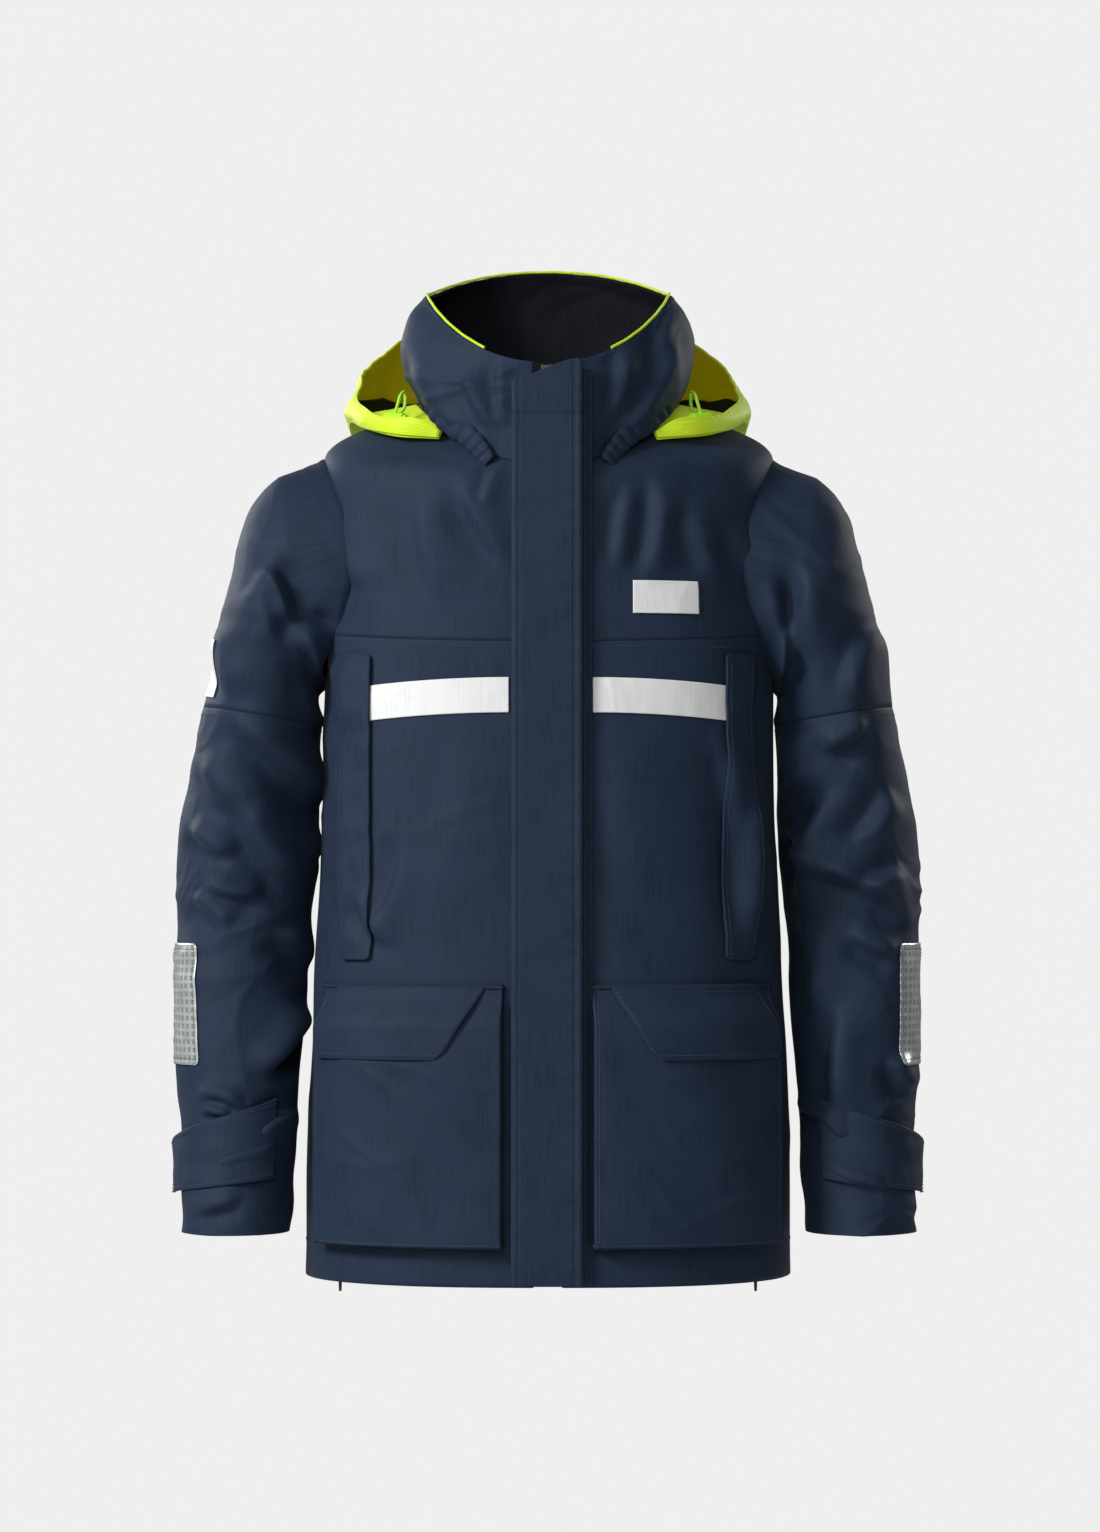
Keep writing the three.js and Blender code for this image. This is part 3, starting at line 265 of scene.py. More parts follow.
# %% The hood's three lines
seam_shares = np.linspace(0, 1, 6)
seam_turns = HOOD_START + (math.pi - HOOD_START) * seam_shares
seam_ring = ring_at(COLLAR_RINGS, np.full(6, 0.12))
HOOD_SEAM = smooth_line(on_ring(seam_ring, -seam_turns, HOOD_THICKNESS + 0.3))
HOOD_CREASE = smooth_line([[-94, -86, -34], [-130, -75, -30], [-160, -40, -20], [-174, 5, -9],
                           [-177, 58, -13], [-161, 118, -52], [-111, 168, -121], [0, 186, -147]])
HOOD_RIM = smooth_line([[-93, -86, -29], [-115, -82, -14], [-150, -52, -7], [-168, -6, 8], [-165, 42, 32],
                        [-149, 84, 58], [-115, 122, 82], [0, 158, 102]])

# %% Surface between two lines
def hood_surface(line_a, line_b, bulge):
    """The surface between two lines: u goes from the right tip round the back to the left tip."""

    def point(u, v):
        share = np.where(u <= 0.5, u * 2, 2 - u * 2)
        a, b = line_a(share), line_b(share)
        p = a + (b - a) * v[..., None]
        push = np.stack([p[..., 0], p[..., 1] + 30, np.zeros(np.shape(share))], -1)
        push /= np.linalg.norm(push, axis=-1, keepdims=True)
        p = p + push * (bulge * np.sin(math.pi * v) * share)[..., None]
        p[..., 0] = np.where(u > 0.5, -p[..., 0], p[..., 0])
        return p

    def surface(u, v, out):
        a, b = np.clip(u, 0.01, 0.99), np.clip(v, 0.01, 0.99)
        along = point(a + 0.01, b) - point(a - 0.01, b)
        across = point(a, b + 0.01) - point(a, b - 0.01)
        normal = np.cross(across, along)
        normal /= np.linalg.norm(normal, axis=-1, keepdims=True)
        return point(u, v) + normal * np.asarray(out, float)[..., None]

    return surface


HOOD_BOWL = hood_surface(HOOD_CREASE, HOOD_RIM, BOWL_BULGE)
HOOD_YOKE = hood_surface(HOOD_SEAM, HOOD_CREASE, YOKE_BULGE)
print("hood rim at the back:", np.round(to_frame(HOOD_RIM(np.array(1.0))), 3))

# %% [markdown]
# ## How cloth folds
# A crease is a line with a ridge on one side and a hollow on the other, fading out at both ends. Crease
# lists give each line's two ends (x and height above the hem), its width, its height and how far it bows.
# A worn jacket also has a slight unevenness everywhere, from the padding and seams behind it. A
# simulation could fold the cloth, and a sculptor's brush could too. Lists of lines put each fold where
# this jacket has it, and always give the same cloth.

# %% Creases
def smooth_step(low, high, value):
    t = np.clip((value - low) / (high - low), 0, 1)
    return t * t * (3 - 2 * t)


def creases(x, h, lines):
    """The height of the folds at places x, h."""
    total = np.zeros(np.shape(x))
    for x0, h0, x1, h1, width, height, bow in lines:
        length = math.hypot(x1 - x0, h1 - h0)
        ex, eh = (x1 - x0) / length, (h1 - h0) / length
        t = ((x - x0) * ex + (h - h0) * eh) / length
        d = ((x - x0) * eh - (h - h0) * ex - bow * 4 * t * (1 - t)) / width
        fade = smooth_step(-0.08, 0.3, t) * smooth_step(1.08, 0.7, t)
        ridge = np.exp(-(d / np.where(d > 0, 0.6, 1.2)) ** 2)
        hollow = np.exp(-((d - 1.0) / np.where(d > 1.0, 1.1, 0.5)) ** 2)
        total += height * fade * (ridge - 0.72 * hollow)
    return total

# %% Unevenness and wear
def unevenness(points, height, size):
    """A gentle waviness, as a sum of slanting waves of about the size given."""
    x, y, z = np.moveaxis(points, -1, 0)
    k = 2 * math.pi / size
    waves = (np.sin(k * (0.9 * x + 0.35 * z) + 1.3) + np.sin(k * (0.5 * z - 0.7 * x + 0.6 * y) + 4.1)
             + np.sin(k * 1.7 * (0.4 * x + 0.8 * y + 0.2 * z) + 2.2) + np.sin(k * 0.6 * (z + 0.3 * x) + 0.7))
    return height * waves / 2.6


def crumples(points, height, size):
    """Short soft ridges that run every way, as in cloth that has been worn: waves bent by other waves."""
    x, y, z = np.moveaxis(points, -1, 0)
    k = 2 * math.pi / size
    bend = 1.5 * np.sin(k * 0.45 * (z + 0.4 * x) + 0.6) + 1.1 * np.sin(k * 0.38 * (x - 0.7 * z + y) + 2.3)
    first = 1 - np.abs(np.sin(k * 0.5 * (0.75 * z + 0.55 * x + 0.5 * y) + bend))
    second = 1 - np.abs(np.sin(k * 0.5 * (0.6 * z - 0.8 * x + 0.4 * y) + 1.3 * bend + 1.9))
    where = smooth_step(-0.5, 1.0, np.sin(k * 0.3 * (z - 0.8 * x) + 0.8 * bend))
    return height * (np.maximum(first, second) ** 2 * (0.35 + 0.65 * where) - 0.3)


# %% [markdown]
# ## Making one piece of cloth
# Every panel starts as a flat grid, which is what a cut piece of cloth is. Its points are laid onto the
# pattern's surface, pushed out or in by the folds, and Solidify gives it its thickness towards the
# inside. Its UV map is the flat cut in metres, so that the weave keeps its true size and follows the
# cloth. A panel could be extruded from a curve instead, but a grid's rows and columns run as the threads
# do.

# %% Cloth helper
def clear_selection():
    if bpy.context.object and bpy.context.object.mode != "OBJECT":
        bpy.ops.object.mode_set(mode="OBJECT")
    bpy.ops.object.select_all(action="DESELECT")


def apply_modifier(piece, kind, **settings):
    modifier = piece.modifiers.new(kind.title(), kind)
    for key, value in settings.items():
        setattr(modifier, key, value)
    bpy.context.view_layer.objects.active = piece
    bpy.ops.object.modifier_apply(modifier=modifier.name)


def spans(points, axis):
    """Mean lengths of the grid's steps along an axis, added up: where its rows or columns lie on the cut."""
    steps = np.linalg.norm(np.diff(points, axis=axis), axis=-1).mean(axis=1 - axis)
    return np.concatenate([[0], np.cumsum(steps)])


def grid_area(points):
    a, b, c, d = points[:-1, :-1], points[:-1, 1:], points[1:, 1:], points[1:, :-1]
    half = np.linalg.norm(np.cross(b - a, c - a), axis=-1) + np.linalg.norm(np.cross(c - a, d - a), axis=-1)
    return half.sum() / 2

# %% Grid onto points
def cloth_grid(name, points, outward, closed=False):
    """A grid primitive laid onto rows of points, its faces turned to the outward side."""
    rows, columns = points.shape[:2]
    along, up = np.diff(points, axis=1)[:-1], np.diff(points, axis=0)[:, :-1]
    if (np.cross(along, up) * outward[:-1, :-1]).sum() < 0:
        points, outward = points[:, ::-1], outward[:, ::-1]
    clear_selection()
    bpy.ops.mesh.primitive_grid_add(x_subdivisions=columns - 1, y_subdivisions=rows - 1, size=2)
    piece = bpy.context.object
    piece.name = piece.data.name = name
    flat = np.array([v.co[:2] for v in piece.data.vertices])
    column = np.rint((flat[:, 0] + 1) / 2 * (columns - 1)).astype(int)
    row = np.rint((flat[:, 1] + 1) / 2 * (rows - 1)).astype(int)
    across, down = spans(points, 1) * MM, spans(points, 0) * MM
    piece.data.vertices.foreach_set("co", to_frame(points[row, column]).astype(np.float32).ravel())
    corner = np.zeros(len(piece.data.loops), int)
    piece.data.loops.foreach_get("vertex_index", corner)
    uv = np.stack([across[column[corner]], down[row[corner]]], -1)
    piece.data.uv_layers.active.data.foreach_set("uv", uv.astype(np.float32).ravel())
    if closed:
        bpy.ops.object.mode_set(mode="EDIT")
        bpy.ops.mesh.select_all(action="SELECT")
        bpy.ops.mesh.remove_doubles(threshold=1e-6)
        bpy.ops.object.mode_set(mode="OBJECT")
    piece.data.update()
    return piece

# %% Laying a piece out
def laid_out(surface, columns, rows, side=-1, folds=None, lift=0.0):
    """Points of a surface on a grid, with its outward directions. side 1 mirrors it to the wearer's left."""
    v, u = np.meshgrid(np.linspace(0, 1, rows), np.linspace(0, 1, columns), indexing="ij")
    zero = np.zeros(np.shape(u))
    base = surface(u, v, zero)
    outward = surface(u, v, zero + 1) - base
    outward /= np.linalg.norm(outward, axis=-1, keepdims=True)
    if side > 0:
        base, outward = base * [-1, 1, 1], outward * [-1, 1, 1]
    height = zero + lift
    if folds is not None:
        height = height + folds(base, outward)
    return base, base + outward * height[..., None], outward

# %% A whole piece of cloth
def cloth(name, surface, columns, rows, materials, thickness=2.0, side=-1, folds=None, lift=0.0,
          closed=False, body=None, replaces=(), held="stretched", rests_on=()):
    """A whole piece: laid out, folded, made thick, tied to its body, and its cut printed if it is a sheet."""
    base, points, outward = laid_out(surface, columns, rows, side, folds, lift)
    piece = cloth_grid(name, points, outward, closed)
    finish_cloth(piece, materials, thickness)
    keep(piece, body, replaces)
    declare_sheet(piece, *flat_cut(base), held, rests_on)
    return piece


def finish_cloth(piece, materials, thickness):
    for material in materials:
        piece.data.materials.append(material)
    inner = 1 if len(materials) > 1 else 0
    apply_modifier(piece, "SOLIDIFY", thickness=thickness * MM, offset=-1, material_offset=inner)
    piece.data.shade_smooth()


def keep(piece, body, replaces):
    if body:
        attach(piece, body)
    if replaces:
        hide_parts(*replaces)


def flat_cut(base):
    """The width and the area of the cloth that a surface needs, in metres, before it is folded."""
    return float(spans(base, 1)[-1] * MM), float(grid_area(base) * MM * MM)


NARROWEST_SHEET = 0.01  # a narrower piece is a strip or a tape, and its cut isn't printed


def declare_sheet(piece, width, area, held, rests_on):
    if width >= NARROWEST_SHEET and area / width >= NARROWEST_SHEET:
        print(f"{piece.name}: cut {width * 1000:.0f} x {area / width * 1000:.0f} mm")

# %% [markdown]
# ## Materials
# The shell is a plain-woven nylon with a water-repellent finish: matt, with a faint sheen, threads about
# 0.35 mm apart (drawn at 1.1 mm so that they show) and slight streaks where warp threads took the dye
# differently. The lining is a smoother taffeta, nearly black. One function weaves them all, because
# cloths differ by their thread, their colour and their finish, and not by how they are made.

# %% Material helpers
def srgb(code):
    """A hex colour as linear RGBA."""
    parts = [int(code[i:i + 2], 16) / 255 for i in (1, 3, 5)]
    return [c / 12.92 if c <= 0.04045 else ((c + 0.055) / 1.055) ** 2.4 for c in parts] + [1.0]


def add_node(tree, kind, inputs=(), **settings):
    """Adds a node. Inputs are a value or another node's socket, by name or number."""
    node = tree.nodes.new(kind)
    for key, value in settings.items():
        setattr(node, key, value)
    for key, value in dict(inputs).items():
        if isinstance(value, bpy.types.NodeSocket):
            tree.links.new(value, node.inputs[key])
        else:
            node.inputs[key].default_value = value
    return node


def new_material(name, **shader):
    material = bpy.data.materials.new(name)
    material.use_nodes = True
    tree = material.node_tree
    surface = tree.nodes["Principled BSDF"]
    for key, value in shader.items():
        surface.inputs[key.replace("_", " ")].default_value = value
    return material, tree, surface


def ramp(tree, value, low, high, colour_low, colour_high):
    node = add_node(tree, "ShaderNodeValToRGB", {"Fac": value})
    node.color_ramp.elements[0].position, node.color_ramp.elements[1].position = low, high
    node.color_ramp.elements[0].color, node.color_ramp.elements[1].color = colour_low, colour_high
    return node.outputs["Color"]


def bands(tree, uv, direction, pitch_mm):
    """A wave with one crest for each thread, at the pitch given."""
    scale = 2 * math.pi / (20 * pitch_mm * MM)
    wave = add_node(tree, "ShaderNodeTexWave",
                    {"Vector": uv, "Scale": scale, "Distortion": 0.6, "Detail": 1.0},
                    bands_direction=direction)
    return wave.outputs["Fac"]

# %% Woven cloth
def woven(name, colour, streak, pitch_mm=1.1, depth_mm=0.12, crinkle_mm=0.5, **shader):
    """A plain weave: two sets of threads make the bump, and streaks and broad patches the colour."""
    material, tree, surface = new_material(name, **shader)
    uv = add_node(tree, "ShaderNodeTexCoord").outputs["UV"]
    threads = add_node(tree, "ShaderNodeMath",
                       {0: bands(tree, uv, "X", pitch_mm), 1: bands(tree, uv, "Y", pitch_mm)},
                       operation="MULTIPLY").outputs[0]
    stretched = add_node(tree, "ShaderNodeMapping", {"Vector": uv, "Scale": (1.0, 0.06, 1.0)}).outputs[0]
    warp = add_node(tree, "ShaderNodeTexNoise", {"Vector": stretched, "Scale": 520.0, "Detail": 3.0})
    patches = add_node(tree, "ShaderNodeTexNoise", {"Vector": uv, "Scale": 22.0, "Detail": 4.0})
    mixed = add_node(tree, "ShaderNodeMath", {0: warp.outputs["Fac"], 1: patches.outputs["Fac"]},
                     operation="ADD").outputs[0]
    tree.links.new(ramp(tree, mixed, 0.72, 1.28, srgb(colour), srgb(streak)), surface.inputs["Base Color"])
    crinkle = add_node(tree, "ShaderNodeTexNoise", {"Vector": uv, "Scale": 95.0, "Detail": 4.0})
    soft = add_node(tree, "ShaderNodeBump", {"Height": crinkle.outputs["Fac"], "Distance": crinkle_mm * MM,
                                             "Strength": 0.5})
    weave = add_node(tree, "ShaderNodeBump", {"Height": threads, "Distance": depth_mm * MM, "Strength": 0.6,
                                              "Normal": soft.outputs[0]})
    tree.links.new(weave.outputs[0], surface.inputs["Normal"])
    return material


NAVY = woven("woven nylon, water repellent finish, navy", "#1a2739", "#212e42", Roughness=0.62,
             Sheen_Weight=0.03, Sheen_Roughness=0.4, Specular_IOR_Level=0.14)
LINING = woven("woven taffeta, black", "#0b0d11", "#121419", crinkle_mm=0.8, Roughness=0.8,
               Specular_IOR_Level=0.1)
print("cloth materials:", [m.name for m in (NAVY, LINING)])

# %% [markdown]
# The hood is dyed with a fluorescent dye, which gives back ultraviolet as yellow-green light. A weak
# emission of the same colour stands for that: a painted glow. Its inside is coated, and its colour is painted
# mustard. That is painted shade, the hood's own shade on the yellow cloth, with a painted glow to lift it.
# Where one layer lets the light through, at the front tips, the inside is painted a brighter green: painted
# light.

# %% Hood cloth
# The emission is a painted glow, standing for the dye's fluorescence.
LIME = woven("woven polyester, fluorescent yellow dye, painted glow", "#c3e00c", "#cae614", crinkle_mm=0.9, Roughness=0.5,
             Sheen_Weight=0.1, Emission_Color=srgb("#c8ec00"), Emission_Strength=0.10)
# Painted shade: the inside is painted mustard, the yellow cloth as it looks in the hood's shade, and its
# emission is a painted glow that lifts that shade.
INSIDE_PAINTED_SHADE = woven("polyurethane coated polyester, inside, yellow", "#958a00", "#9d9204", crinkle_mm=1.2,
               Roughness=0.55, Emission_Color=srgb("#8a7c00"), Emission_Strength=0.30)


def paint_light_through(material, painted_lit_colour, y_front, y_back):
    """Painted light: one thin layer lets light through where nothing lies behind it, so the colour is painted
    brighter towards the front tips, by the depth in the object.
    """
    tree = material.node_tree
    surface = tree.nodes["Principled BSDF"]
    base = surface.inputs["Base Color"].links[0].from_socket
    place = add_node(tree, "ShaderNodeTexCoord").outputs["Object"]
    depth = add_node(tree, "ShaderNodeSeparateXYZ", {0: place}).outputs["Y"]
    share = add_node(tree, "ShaderNodeMapRange", {"Value": depth, "From Min": y_front, "From Max": y_back,
                                                  "To Min": 1.0, "To Max": 0.0}).outputs[0]
    mix = add_node(tree, "ShaderNodeMix", data_type="RGBA")
    tree.links.new(share, mix.inputs[0])
    tree.links.new(base, mix.inputs[6])
    mix.inputs[7].default_value = srgb(painted_lit_colour)
    tree.links.new(mix.outputs[2], surface.inputs["Base Color"])


# Painted light: lime green at the front tips, and mustard painted shade further back.
paint_light_through(INSIDE_PAINTED_SHADE, "#b2e40e", -0.125, -0.085)
print("hood materials:", LIME.name, "and", INSIDE_PAINTED_SHADE.name)

# %% [markdown]
# The hood is lined with an open knitted mesh. Modelled, its holes would be tens of thousands of faces.
# Two crossed waves in the material show them as well, and their bump gives the yarn some depth.

# %% Mesh
def mesh_material():
    """Open warp-knit mesh: the holes, 2.2 mm apart, show the yellow cloth behind, painted darker as in the
    shade under the mesh.
    """
    material, tree, surface = new_material("warp knit mesh, black", Roughness=0.8)
    uv = add_node(tree, "ShaderNodeTexCoord").outputs["UV"]
    holes = add_node(tree, "ShaderNodeMath", {0: bands(tree, uv, "X", 2.2), 1: bands(tree, uv, "Y", 2.2)},
                     operation="MULTIPLY").outputs[0]
    # The holes' colour is the yellow behind, with painted shade.
    yarn, behind = srgb("#0c0d0a"), srgb("#5a5413")
    tree.links.new(ramp(tree, holes, 0.55, 0.8, yarn, behind), surface.inputs["Base Color"])
    bump = add_node(tree, "ShaderNodeBump", {"Height": holes, "Distance": 0.6 * MM, "Strength": 0.8, "Normal":
                    add_node(tree, "ShaderNodeNewGeometry").outputs["Normal"]})
    bump.invert = True
    tree.links.new(bump.outputs[0], surface.inputs["Normal"])
    return material


MESH = mesh_material()

# %% [markdown]
# The chest tapes are a smooth white film bonded onto the cloth by heat, so the weave under it barely
# shows. The forearms carry a silver film that sends light back, over a ground of small sealed squares.

# %% Film tapes
TAPE = woven("polyurethane film tape, white, heat bonded", "#dadcdc", "#e2e3e3", depth_mm=0.05,
             crinkle_mm=0.6, Roughness=0.42)


def reflective_material():
    """Retroreflective film: silver, over small sealed squares about 7 mm wide, and a little scuffed."""
    material, tree, surface = new_material("retroreflective film, silver", Roughness=0.3, Metallic=0.35,
                                           Coat_Weight=0.5, Coat_Roughness=0.2)
    uv = add_node(tree, "ShaderNodeTexCoord").outputs["UV"]
    squares = add_node(tree, "ShaderNodeMath", {0: bands(tree, uv, "X", 7.0), 1: bands(tree, uv, "Y", 7.0)},
                       operation="MAXIMUM").outputs[0]
    scuffs = add_node(tree, "ShaderNodeTexNoise",
                      {"Vector": uv, "Scale": 60.0, "Detail": 6.0, "Roughness": 0.7}).outputs["Fac"]
    lit = add_node(tree, "ShaderNodeMath", {0: squares, 1: scuffs}, operation="MULTIPLY").outputs[0]
    tree.links.new(ramp(tree, lit, 0.2, 0.62, srgb("#8f9896"), srgb("#cdd3d1")), surface.inputs["Base Color"])
    bump = add_node(tree, "ShaderNodeBump", {"Height": lit, "Distance": 0.25 * MM, "Strength": 0.5})
    tree.links.new(bump.outputs[0], surface.inputs["Normal"])
    return material


REFLECTIVE = reflective_material()
print("films:", TAPE.name, "and", REFLECTIVE.name)

# %% [markdown]
# Cord locks, zip teeth and the slider are moulded in acetal, a hard plastic with a soft shine. The cords
# are braided, which is drawn as a 1.2 mm grid along them. The hook tape's rows are 1.6 mm apart. The
# sewing thread is a little paler than the shell, so the stitches can be seen.

# %% Moulded parts, tapes, cords and thread
def moulded(name, colour, worn, **shader):
    """Injection moulded plastic: a fine spark-eroded grain, and slightly paler where it has been handled."""
    material, tree, surface = new_material(name, **shader)
    place = add_node(tree, "ShaderNodeTexCoord").outputs["Object"]
    grain = add_node(tree, "ShaderNodeTexNoise",
                     {"Vector": place, "Scale": 2500.0, "Detail": 2.0}).outputs["Fac"]
    handled = add_node(tree, "ShaderNodeTexNoise",
                       {"Vector": place, "Scale": 160.0, "Detail": 4.0}).outputs["Fac"]
    tree.links.new(ramp(tree, handled, 0.35, 0.75, srgb(colour), srgb(worn)), surface.inputs["Base Color"])
    bump = add_node(tree, "ShaderNodeBump", {"Height": grain, "Distance": 0.08 * MM, "Strength": 0.4})
    tree.links.new(bump.outputs[0], surface.inputs["Normal"])
    return material


BLACK_ACETAL = moulded("acetal, injection moulded, black", "#0f1013", "#1c1e22", Roughness=0.38)
# The lime plastic's emission is a painted glow.
LIME_ACETAL = moulded("acetal, injection moulded, lime, painted glow", "#a6e61c", "#b6f032", Roughness=0.36,
                      Emission_Color=srgb("#9be800"), Emission_Strength=0.1)
HOOK_TAPE = woven("hook and loop tape, black", "#0b0c0e", "#1b1d20", pitch_mm=1.6, depth_mm=0.7,
                  crinkle_mm=1.2, Roughness=0.85)
CORD_LIME = woven("braided polyester cord, lime", "#a9ea20", "#bdf53c", pitch_mm=1.2, depth_mm=0.3,
                  Roughness=0.6)
CORD_BLACK = woven("braided polyester cord, black", "#0d0e11", "#1d2025", pitch_mm=1.2, depth_mm=0.3,
                   Roughness=0.6)
THREAD = woven("spun polyester thread, navy", "#1b2534", "#354763", pitch_mm=0.5, depth_mm=0.1, Roughness=0.6)
print("materials:", len(bpy.data.materials))

# %% [markdown]
# ## Camera, light and floor
# The camera stands 3.5 m in front of the jacket at the height of the cargo pockets' flaps, and looks up
# slightly. A large soft light stands at the left, so the wearer's left side falls into shade, and the
# pale room fills in. A small lamp would give hard shadows, and navy cloth shows its folds best in soft
# light from one side.

# %% Camera
CAMERA_HEIGHT, CAMERA_BACK, CAMERA_RIGHT = 342.0, 3500, 0.0018  # mm above the hem, mm away, and metres aside
LOOK_UP, VIEW_ANGLE = 1.64, 21.8  # degrees
eye = to_frame([0, -CAMERA_BACK, HEM + CAMERA_HEIGHT]) + np.array([CAMERA_RIGHT, 0, 0])
bpy.ops.object.camera_add(location=eye, rotation=(math.radians(90 + LOOK_UP), 0, 0))
camera = bpy.context.object
camera.name = "camera"
camera.data.lens = camera.data.sensor_width / (2 * math.tan(math.radians(VIEW_ANGLE) / 2))
camera.data.clip_end = 50
bpy.context.scene.camera = camera
print("camera at", np.round(eye, 3), "lens", round(camera.data.lens, 1))


# %% Lights
def soft_light(name, place, aim, size, power):
    bpy.ops.object.light_add(type="AREA", location=place)
    light = bpy.context.object
    light.name = name
    light.data.shape = "DISK"
    light.data.size = size
    light.data.energy = power
    light.rotation_euler = (Vector(aim) - Vector(place)).to_track_quat("-Z", "Y").to_euler()


LIGHTS = (  # place and size in metres, power in watts
    ("key light", (-2.9, -2.1, 1.5), 1.3, 140),
    ("front light", (-0.6, -3.6, 1.0), 1.8, 36),
    ("rim light left", (-2.2, 2.2, 0.8), 1.4, 40),
    ("rim light right", (2.4, 2.0, 0.8), 1.4, 30),
)
chest = Vector(to_frame([0, 0, -300]))
for name, place, size, power in LIGHTS:
    soft_light(name, place, chest, size, power)
print("lights:", len(LIGHTS))

# %% [markdown]
# The room is an even pale backdrop. What the camera sees of it stays bright, and what lights the cloth is
# a fifth of that, so that the folds keep their shade. The floor lies well below the hem, at the height of
# the wearer's feet.

# %% Room and floor
world = bpy.data.worlds.new("studio")
bpy.context.scene.world = world
world.use_nodes = True
sky = world.node_tree
ROOM = 0.20
BACKDROP = srgb("#efefef")
seen = add_node(sky, "ShaderNodeLightPath").outputs["Is Camera Ray"]
strength = add_node(sky, "ShaderNodeMapRange", {"Value": seen, "To Min": ROOM, "To Max": 1.0}).outputs[0]
sky.nodes["Background"].inputs["Color"].default_value = BACKDROP
sky.links.new(strength, sky.nodes["Background"].inputs["Strength"])
bpy.context.scene.view_settings.view_transform = "Standard"

FLOOR_BELOW_HEM, FLOOR_RADIUS = 950.0, 2.6  # millimetres, and metres
clear_selection()
bpy.ops.mesh.primitive_circle_add(vertices=96, radius=FLOOR_RADIUS, fill_type="NGON",
                                  location=to_frame([0, 0, HEM - FLOOR_BELOW_HEM]))
floor = bpy.context.object
floor.name = "floor"
paint, paint_tree, paint_surface = new_material("emulsion paint, pale grey", Roughness=0.8)
speckle = add_node(paint_tree, "ShaderNodeTexNoise", {"Scale": 40.0, "Detail": 5.0}).outputs["Fac"]
paint_tree.links.new(ramp(paint_tree, speckle, 0.3, 0.7, srgb("#e6e6e6"), srgb("#efefef")),
                     paint_surface.inputs["Base Color"])
floor.data.materials.append(paint)

# %% [markdown]
# ## Body panels
# The lower fronts and back hang from the yoke's seam. Each front is cut from one piece between the zip
# and the side seam. The armhole is cut out of the panel inside the sleeve's edge, where the seam
# allowance lies. A boolean could cut it, but picking the faces by their place and deleting them leaves
# the grid clean.

# %% Fold lists for the body
SIDE_GAP, FRONT_EDGE = 0.3, 12.0
BODY_FOLDS = [  # x, height above the hem, x, height, width, depth, bow
    (-72, 688, -26, 610, 15, 2.6, 6), (-100, 676, -84, 580, 20, 1.8, 8),
    (96, 688, 84, 596, 13, 2.8, -6), (74, 680, 62, 606, 11, 2.0, 4), (128, 668, 150, 600, 16, 2.4, 6),
    (-172, 662, -150, 590, 16, 2.6, 10), (-158, 336, -128, 286, 9, 2.4, 8),
    (-120, 372, -150, 292, 12, 1.8, -6), (148, 470, 168, 300, 14, 2.6, -8),
    (158, 646, 190, 580, 15, 3.0, -6), (-186, 560, -168, 470, 13, 2.6, 4),
    (64, 470, 92, 330, 34, 1.4, 8), (-60, 468, -96, 318, 34, 1.4, -8),
    (-186, 470, -176, 300, 12, 2.4, -4), (180, 430, 172, 286, 12, 2.6, 4),
    (-190, 250, -178, 60, 14, 2.4, 6), (188, 262, 176, 70, 14, 2.6, -6),
    (-40, 700, -52, 660, 8, 1.6, 2),
]
BACK_FOLDS = [
    (-90, 700, -150, 560, 24, 3.2, -10), (92, 700, 156, 560, 24, 3.2, 10),
    (-60, 520, -100, 250, 36, 3.0, 16), (66, 500, 96, 220, 36, 3.0, -16),
    (-150, 500, -120, 330, 20, 2.6, 8), (152, 500, 124, 330, 20, 2.6, -8),
    (10, 460, -16, 130, 40, 2.0, 14), (-160, 260, -130, 40, 22, 2.4, -8),
    (160, 260, 132, 40, 22, 2.4, 8),
]


def body_folds(points, outward):
    """Creases on the front and back by their own lists, fading where the pieces are sewn."""
    x, h = points[..., 0], points[..., 2] - HEM
    front = smooth_step(-0.15, 0.35, -outward[..., 1])
    back = smooth_step(-0.15, 0.35, outward[..., 1])
    height = creases(x, h, BODY_FOLDS) * front + creases(x, h, BACK_FOLDS) * back
    height = 1.9 * height + unevenness(points, 1.1, 115) + crumples(points, 0.9, 150)
    height += back * crumples(points, 2, 96)
    sewn = smooth_step(2, 26, h) * (0.25 + 0.75 * smooth_step(4, 26, np.abs(h - 545)))
    return height * (0.3 + 0.7 * sewn) * smooth_step(12, 50, np.abs(x))


def body_surface(place_from, place_to, turns):
    """A panel between two rings. A lower panel's top edge dips under the yoke's cloth."""

    def surface(u, v, out):
        place = place_from + (place_to - place_from) * v
        ring = ring_at(BODY_RINGS, place)
        start, end = turns(ring)
        under = 2.3 * smooth_step(YOKE_RING - 0.004, YOKE_RING + 0.012, place)
        return on_ring(ring, start + (end - start) * u, out - (under if place_from < YOKE_RING else 0))

    return surface


def side_turn(ring, gap):
    return np.arccos((gap / FRONT_AT_NECK) ** (ring[..., 5] / 2))


def front_turns(ring):
    return -side_turn(ring, SIDE_GAP), -turn_at_x(ring, FRONT_EDGE)


def back_turns(ring):
    return math.pi - side_turn(ring, SIDE_GAP), math.pi + side_turn(ring, SIDE_GAP)


# %% [markdown]
# The armhole is an upright ellipse on the side of the body. The shell's hole is a seam allowance smaller
# than it, and the lining's a little less.

# %% Armholes and panels
HOLE_HALF_DEPTH, HOLE_HALF_HEIGHT = 84, (SLEEVE_TOP - ARMPIT) / 2
SEAM_ALLOWANCE, LINING_ALLOWANCE = 7.0, 5.0
SIDE_FROM = 0.15  # metres from the middle: only the side's faces are cut


